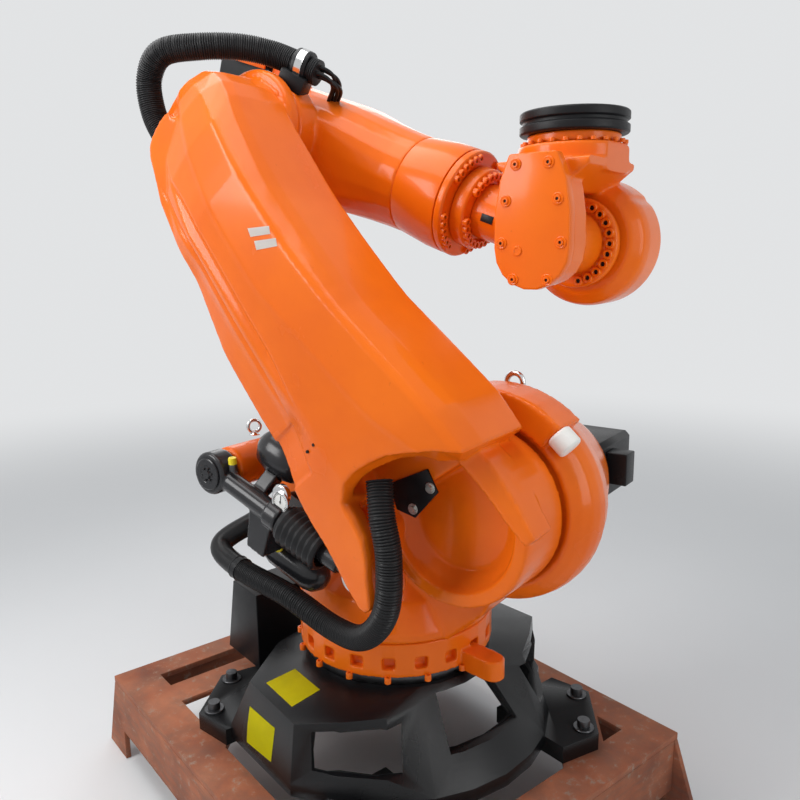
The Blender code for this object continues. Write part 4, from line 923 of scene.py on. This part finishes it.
def slab(name, matrix, size, body, slot_name, material, edge=0.001):
    """Thin rounded block standing on the matrix's XY plane."""
    form = bmesh.new()
    bmesh.ops.create_cube(form, size=1)
    for v in form.verts:
        v.co = matrix @ Vector((v.co.x * size[0], v.co.y * size[1], (v.co.z + 0.5) * size[2]))
    bmesh.ops.bevel(
        form,
        geom=list(form.edges),
        offset=edge,
        offset_type="OFFSET",
        segments=2,
        profile=0.5,
        affect="EDGES",
    )
    return keep(from_bmesh(name, form, True, 30), body, slot_name, material)


def draped(name, corners, way, onto, lift, body, slot_name, material, count=8):
    """Thin sheet between four corners, laid onto a piece from outside."""
    tree = BVHTree.FromObject(onto, bpy.context.evaluated_depsgraph_get())
    a, b, c, d = (Vector(p) for p in corners)
    form = bmesh.new()
    rows = []
    for i in range(count + 1):
        row = []
        for k in range(count + 1):
            s, t = i / count, k / count
            spot = a * (1 - s) * (1 - t) + b * (1 - s) * t + c * s * t + d * s * (1 - t)
            found = tree.ray_cast(spot - Vector(way) * 0.1, Vector(way), 0.3)
            spot = found[0] if found[0] is not None else spot
            row.append(form.verts.new(spot - Vector(way) * lift))
        rows.append(row)
    for low, high in zip(rows, rows[1:]):
        for k in range(count):
            form.faces.new((low[k], low[k + 1], high[k + 1], high[k]))
    bmesh.ops.solidify(form, geom=list(form.faces), thickness=lift * 0.9)
    return keep(from_bmesh(name, form, True, 40), body, slot_name, material)


SHEET = 0.0008
DECK_SHEET = [(-0.078, -0.5, 0.30), (-0.063, -0.395, 0.318), (0.099, -0.4, 0.318), (0.098, -0.507, 0.30)]
SIDE_SHEET = [(-0.117, -0.546, 0.214), (0.06, -0.55, 0.226), (0.032, -0.555, 0.091), (-0.131, -0.555, 0.077)]
UPPER_SHEET = [(0.044, 0.9347), (0.1081, 0.8938), (0.1009, 0.8734), (0.0388, 0.9105)]
LOWER_SHEET = [(0.0428, 0.8943), (0.109, 0.8543), (0.1018, 0.8339), (0.0352, 0.8704)]


def blanks():
    """Plain label sheets with nothing on them."""
    bpy.context.view_layer.update()
    base = bpy.data.objects["base_casting_skin"]
    arm = bpy.data.objects["link_arm_skin"]
    for name, sheet, way in (("deck_blank", DECK_SHEET, (0, 0, -1)), ("side_blank", SIDE_SHEET, (0, 1, 0))):
        way = BASE.to_3x3() @ Vector(way)
        draped(name, in_frame(BASE, sheet), way, base, SHEET, "base", None, LABEL)
    across = A2.to_3x3() @ Vector((0, 1, 0))
    for name, sheet in (("upper_white_blank", UPPER_SHEET), ("lower_white_blank", LOWER_SHEET)):
        corners = in_frame(A2, [(v, -0.62, u) for v, u in sheet])
        draped(name, corners, across, arm, SHEET, "link_arm", None, PAPER)


def gauge():
    """Dial of the pressure gauge, with its scale and pointer."""
    face = A1 @ moved(-0.046, -0.511, 0.978) @ axes_to(NEAR)
    turned_piece(
        "gauge_rim",
        face,
        [(0.034, 0), (0.034, 0.005), (0.031, 0.0065), (0.0285, 0.005), (0.0285, 0.001)],
        "cylinder",
        "bare_steel",
        CHROME,
        40,
    )
    turned_piece("gauge_dial", face, [(0.0283, 0.0012), (0.0283, 0.0022)], "cylinder", None, DIAL, 40)
    form = bmesh.new()
    marks = [(radians(225 - 270 * k / 20), 0.0225, 0.0265, 0.0006 if k % 5 else 0.0011) for k in range(21)]
    marks.append((radians(80), -0.007, 0.021, 0.0012))
    for angle, start, end, half in marks:
        out, aside = Vector((cos(angle), sin(angle), 0)), Vector((-sin(angle), cos(angle), 0))
        corners = ((start, -half), (end, -half), (end, half), (start, half))
        low = [out * a + aside * b for a, b in corners]
        rings_into(form, [[face @ (q + Vector((0, 0, h))) for q in low] for h in (0.0023, 0.0029)])
    keep(from_bmesh("gauge_marks", form, False), "cylinder", "black_enamel", BLACK)
    hub = [(0.003, 0.0029), (0.003, 0.0045), (0.002, 0.005)]
    turned_piece("gauge_hub", face, hub, "cylinder", "black_enamel", BLACK, 16)


def filler_cap(name, matrix, body):
    """Black hexagon fitting with a yellow plastic cap."""
    form = bmesh.new()
    rings_into(
        form,
        [
            turned_ring(matrix, 0.014, -0.006, 18, 6),
            turned_ring(matrix, 0.014, 0.014, 18, 6),
            turned_ring(matrix, 0.0115, 0.016, 18),
            turned_ring(matrix, 0.0095, 0.022, 18),
        ],
    )
    keep(from_bmesh(name + "_fitting", form, True, 30), body, "bare_steel", DARK_STEEL)
    turned_piece(
        name,
        matrix,
        [(0.0125, 0.017), (0.0135, 0.018), (0.0135, 0.034), (0.0122, 0.038), (0.006, 0.0385)],
        body,
        None,
        YELLOW,
    )


def cylinder_fittings():
    filler_cap("tube_cap", A1 @ moved(*TUBE_CAP) @ axes_to((0.05, -0.1, 1)), "cylinder")
    filler_cap("tank_cap", A1 @ moved(*TANK_CAP) @ axes_to((0.45, -0.85, 0.15)), "cylinder")
    eye = SWING @ moved(0, -0.0365, 0) @ axes_to(NEAR)
    turned_piece(
        "eye_cover",
        eye,
        [(0.052, 0), (0.052, 0.004), (0.049, 0.006), (0.030, 0.006)]
        + [(0.028, 0.0045), (0.016, 0.0045), (0.014, 0.010)],
        "cylinder",
        "black_enamel",
        GLOSS_BLACK,
        40,
    )
    heads = circle_places(SWING, (0, -0.0405, 0), "-Y", 0.021, fan((30,), 60, 6), 0.0042, 0.006)
    bolt_set("eye_cover_bolts", "cylinder", DARK_STEEL, "bare_steel", heads)


def hose_clamp(name, matrix, radius, width, body, slot_name, material):
    """Band round a hose, whose axis is the matrix's Z, with a flange on each side."""
    turned_piece(
        name,
        matrix,
        [
            (radius, -width / 2),
            (radius + 0.0035, -width / 2),
            (radius + 0.0045, -width / 2 + 0.003),
            (radius + 0.003, -width / 2 + 0.005),
            (radius + 0.003, width / 2 - 0.005),
            (radius + 0.0045, width / 2 - 0.003),
            (radius + 0.0035, width / 2),
            (radius, width / 2),
        ],
        body,
        slot_name,
        material,
        40,
    )


def clamps():
    lower = A1 @ moved(*LOWER_CLAMP) @ axes_to(LOWER_CLAMP_WAY)
    hose_clamp("lower_clamp", lower, 0.036, 0.03, "column", "black_enamel", BLACK)
    saddle = A1 @ moved(*UPPER_CLAMP) @ axes_to(UPPER_CLAMP_WAY)
    turned_piece(
        "upper_saddle",
        saddle,
        [(0.039, -0.024), (0.047, -0.024), (0.049, -0.02), (0.049, 0.02), (0.047, 0.024), (0.039, 0.024)],
        "upper_arm",
        "black_enamel",
        BLACK,
        40,
    )
    turned_piece(
        "upper_strap",
        saddle,
        [(0.0488, -0.012), (0.0502, -0.012), (0.051, -0.011)]
        + [(0.051, 0.011), (0.0502, 0.012), (0.0488, 0.012)],
        "upper_arm",
        "bare_steel",
        CHROME,
        48,
    )
    block = A1 @ moved(*UPPER_BLOCK) @ turned(33, "Y") @ turned(23, "Z")
    slab("upper_saddle_foot", block, (0.085, 0.075, 0.05), "upper_arm", "black_enamel", BLACK, 0.004)


CABLE_OFFSETS = ((0.016, 0.010), (-0.006, 0.019), (-0.019, 0.0), (0.004, -0.012), (0.02, -0.012))


def thin_cables():
    """The wires that leave the upper hose and turn down behind the upper arm."""
    for i, (a, b) in enumerate(CABLE_OFFSETS):
        route = [
            (-0.135 + a * 0.2, -0.205 + a, 2.262 + b),
            (-0.105 + a * 0.2, -0.188 + a * 0.6, 2.25 + b),
            (-0.092, -0.162 + a, 2.234 + b),
            (-0.108, -0.13 + a, 2.218 + b * 0.6),
            (-0.15, -0.10 + a, 2.195 + b * 0.4),
            (-0.19, -0.08 + a, 2.16),
        ]
        points = smooth_points(route, 0.006)
        made = swept("thin_cable_%d" % (i + 1), in_frame(A1, points), lambda walked: 0.0062, 14)
        keep(made, "upper_arm", "hose_rubber", HOSE)


def stop_lug():
    """Round nose of the lug that meets the stops of axis 1."""
    profile = [(0.033, 0), (0.0374, 0.005), (0.0374, 0.064), (0.033, 0.069)]
    nose = A1 @ moved(0.4405, -0.066, 0.349)
    turned_piece("stop_lug_nose", nose, profile, "column", "orange_enamel", ORANGE)


def crown_bolts():
    """Screws that hold the column's lower ring, just proud of its edge."""
    places = circle_places(A1, (0, 0, 0.352), "Z", 0.350, fan((-15,), -21.5, 12), 0.011, 0.02)
    bolt_set("crown_bolts", "column", ORANGE, "orange_enamel", places)


def arm_fittings():
    spots = ((0.108, 0.01), (0.085, -0.077))
    heads = [(A2 @ moved(v, -0.4463, u) @ axes_to(NEAR), 0.0105, 0.009) for u, v in spots]
    bolt_set("cable_plate_bolts", "link_arm", STEEL, "bare_steel", heads, hex_bolt)
    # Two short black stubs on the arm's face: painted shade where two holes are.
    form = bmesh.new()
    for u, v, y in ((0.359, -0.138, -0.6095), (0.357, -0.179, -0.6005)):
        place = A2 @ moved(v, y, u) @ axes_to(NEAR)
        rings_into(form, [turned_ring(place, 0.0045, h, 14) for h in (-0.004, 0.0016)])
    keep(from_bmesh("step_hole_shade", form), "link_arm", "black_enamel", BLACK)
    plate = A4 @ moved(0.767, -0.0815, -0.009) @ axes_to(NEAR)
    slab("neck_plate", plate, (0.04, 0.022, 0.002), "wrist_roll", "black_enamel", BLACK, 0.0006)
    plug = A5 @ moved(-0.038, -0.2498, -0.02) @ axes_to(NEAR)
    turned_piece(
        "cover_plug",
        plug,
        [(0.013, 0), (0.013, 0.003), (0.0115, 0.004), (0.008, 0.004), (0.007, 0.0025)],
        "wrist_pitch",
        "orange_enamel",
        ORANGE,
    )
    elbow = [60 + 15 * k for k in range(9)]
    bolt_set(
        "elbow_bolts",
        "upper_arm",
        ORANGE,
        "orange_enamel",
        circle_places(A3, (0, -0.205, 0), "-Y", 0.135, elbow, 0.011, 0.014),
    )


def main():
    stage()
    camera()
    castings()
    flange_bolts()
    cover_bolts()
    drum_bolts()
    base_bolts()
    lifting_eye("shoulder_eyebolt", "column", A1 @ moved(0.521, -0.1, 1.30), 0.026, 0.0085)
    lifting_eye("rear_eyebolt", "column", A1 @ moved(-0.375, -0.30, 1.10) @ turned(60, "Z"), 0.021, 0.0065)
    hoses()
    blanks()
    gauge()
    cylinder_fittings()
    clamps()
    thin_cables()
    arm_fittings()
    crown_bolts()
    stop_lug()


main()
